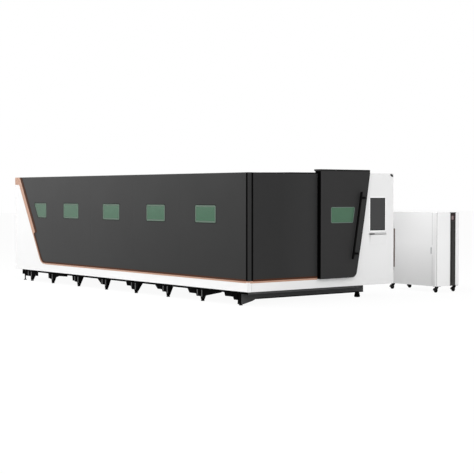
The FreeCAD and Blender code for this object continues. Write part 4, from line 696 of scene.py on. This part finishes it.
# Display. A tinted plastic pane is pressed into the dark moulded head of the cabinet's vent
# strip from the front; nothing shows on it, and its light rose is a painted highlight.
dress(painted("strip_black", (0.015, 0.0145, 0.013), 0.45, 0.3), "cabinet_vent_strip")
dress(painted("display_red", (0.016, 0.006, 0.006), 0.35, 0.2), "cabinet_display")
display_low, display_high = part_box("cabinet_display")
tinted_pane = bmesh.new()
slab(tinted_pane, (display_high.x - 0.0005, display_low.y + 0.001, display_low.z + 0.020),
     (display_high.x + 0.0012, display_low.y + 0.056, display_low.z + 0.092), edge=0.0005)
pane_painted_highlight = painted("pane_painted_highlight", (0.19, 0.135, 0.135), 0.3, 0.3, grain=1200, depth=0.00001)
piece("display_pane", tinted_pane, pane_painted_highlight, "machine")


# Strip louvres. Pressed steel blades lean outwards one above the other down the vent strip,
# riveted to its back.
vent_low, vent_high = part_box("cabinet_vent_strip")
vent_middle = (vent_low.y + vent_high.y) / 2
blade_pitch = 0.016
lean = Matrix.Rotation(math.radians(62), 3, "Y")
louvres = bmesh.new()
for row in range(int((display_low.z - vent_low.z - 0.07) / blade_pitch)):
    height = vent_low.z + 0.05 + row * blade_pitch
    blade = bmesh.ops.create_grid(louvres, x_segments=1, y_segments=1, size=0.5)["verts"]
    bmesh.ops.scale(louvres, vec=(0.012, 0.05, 1), verts=blade)
    bmesh.ops.rotate(louvres, cent=(0, 0, 0), matrix=lean, verts=blade)
    bmesh.ops.translate(louvres, vec=(vent_high.x + 0.0005, vent_middle, height), verts=blade)
bmesh.ops.solidify(louvres, geom=list(louvres.faces), thickness=0.0016)
louvre_grey = painted("louvre_grey", (0.04, 0.039, 0.036), 0.5, 0.2, grain=700)
piece("strip_louvres", louvres, louvre_grey, "machine")


# Cabinet seams. A rubber strip lies in the joint of the folded sheets at the shell's corner; a
# second dark strip, low on its hinge side below the trim, is a painted shadow. The door's own
# strip, pressed in beside the latch, leaves a space where the latch turns.
shell_low, shell_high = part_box("cabinet_shell")
painted_shadow_top = 0.44
cabinet_seam_and_shadow = bmesh.new()
slab(cabinet_seam_and_shadow, (shell_high.x - 0.001, shell_low.y + 0.001, shell_low.z + 0.004),
     (shell_high.x + 0.0012, shell_low.y + 0.0048, shell_high.z - 0.004), edge=0.0005)
slab(cabinet_seam_and_shadow, (shell_low.x + 0.002, shell_low.y - 0.0012, shell_low.z + 0.004),
     (shell_low.x + 0.014, shell_low.y + 0.001, painted_shadow_top), edge=0.0005)
piece("cabinet_seam_and_shadow", cabinet_seam_and_shadow, seal_rubber, "machine")
leaf_low, leaf_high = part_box("cabinet_door")
latch_low, latch_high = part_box("cabinet_latch")
latch_room = 0.03
door_seam = bmesh.new()
for foot, head in ((leaf_low.z + 0.004, latch_low.z - latch_room),
                   (latch_high.z + latch_room, leaf_high.z - 0.004)):
    slab(door_seam, (leaf_high.x - 0.056, leaf_low.y - 0.0008, foot),
         (leaf_high.x - 0.0541, leaf_low.y + 0.001, head), edge=0.0004)
piece("cabinet_door_seam", door_seam, seal_rubber, "source_door")


# Casters. Black rubber treads moulded on black hubs turn on axles in pressed forks; a moulded
# hood clips over each fork and keeps feet off the wheel.
tyre_black = painted("tyre_black", (0.004, 0.004, 0.004), 0.75, 0.05, grain=900)
hood_black = painted("hood_black", (0.005, 0.005, 0.005), 0.6, 0.1, grain=700)
dress(base_enamel, "caster_plates", *["caster_fork_%d" % number for number in range(1, 5)])
hood_gap = 0.0025
hood_skirt = 0.016
for number in range(1, 5):
    node = "caster_wheel_%d" % number
    wheel_low, wheel_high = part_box(node)
    middle = (wheel_low + wheel_high) / 2
    radius = (wheel_high.z - wheel_low.z) / 2
    half = (wheel_high.x - wheel_low.x) / 2
    # Half of the wheel's section, from the axle out: hub, dished web and rounded tread.
    outline = [(0.0052, -half), (0.014, -half), (0.016, -half + 0.003), (radius * 0.62, -half + 0.003),
               (radius * 0.7, -half + 0.0005), (radius - 0.006, -half), (radius - 0.0015, -half + 0.004),
               (radius, -half + 0.010)]
    outline += [(distance, -across) for distance, across in reversed(outline)]
    wheel = bmesh.new()
    corners = [wheel.verts.new((middle.x + across, middle.y, middle.z + distance))
               for distance, across in outline]
    edges = [wheel.edges.new(pair) for pair in zip(corners, corners[1:] + corners[:1])]
    bmesh.ops.spin(wheel, geom=corners + edges, cent=middle, axis=(1, 0, 0), angle=math.tau, steps=40,
                   use_merge=True, use_duplicate=False, dvec=(0, 0, 0))
    tread = piece("caster_tread_%d" % number, wheel, tyre_black, "wheel_%d" % number)
    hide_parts(node)
    fork_low, fork_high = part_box("caster_fork_%d" % number)
    reach = (fork_high.x - fork_low.x) / 2
    inner = radius + hood_gap
    # Half of the hood's section: over the crown, down the skirt, and back up inside.
    right_half = [(reach, inner + 0.005), (reach + 0.003, inner + 0.002), (reach + 0.003, inner - hood_skirt),
                  (reach + 0.0006, inner - hood_skirt), (reach + 0.0006, inner + 0.0016)]
    section = right_half + [(-across, distance) for across, distance in reversed(right_half)]
    hood = bmesh.new()
    corners = [hood.verts.new((middle.x + across, middle.y, middle.z + distance))
               for across, distance in section]
    face = hood.faces.new(corners)
    bmesh.ops.rotate(hood, cent=middle, matrix=Matrix.Rotation(math.radians(-6), 3, "X"), verts=corners)
    bmesh.ops.spin(hood, geom=corners + list(face.edges) + [face], cent=middle, axis=(1, 0, 0),
                   angle=math.radians(96), steps=16, use_merge=False, use_duplicate=False, dvec=(0, 0, 0))
    piece("caster_hood_%d" % number, hood, hood_black, "caster_%d" % number)
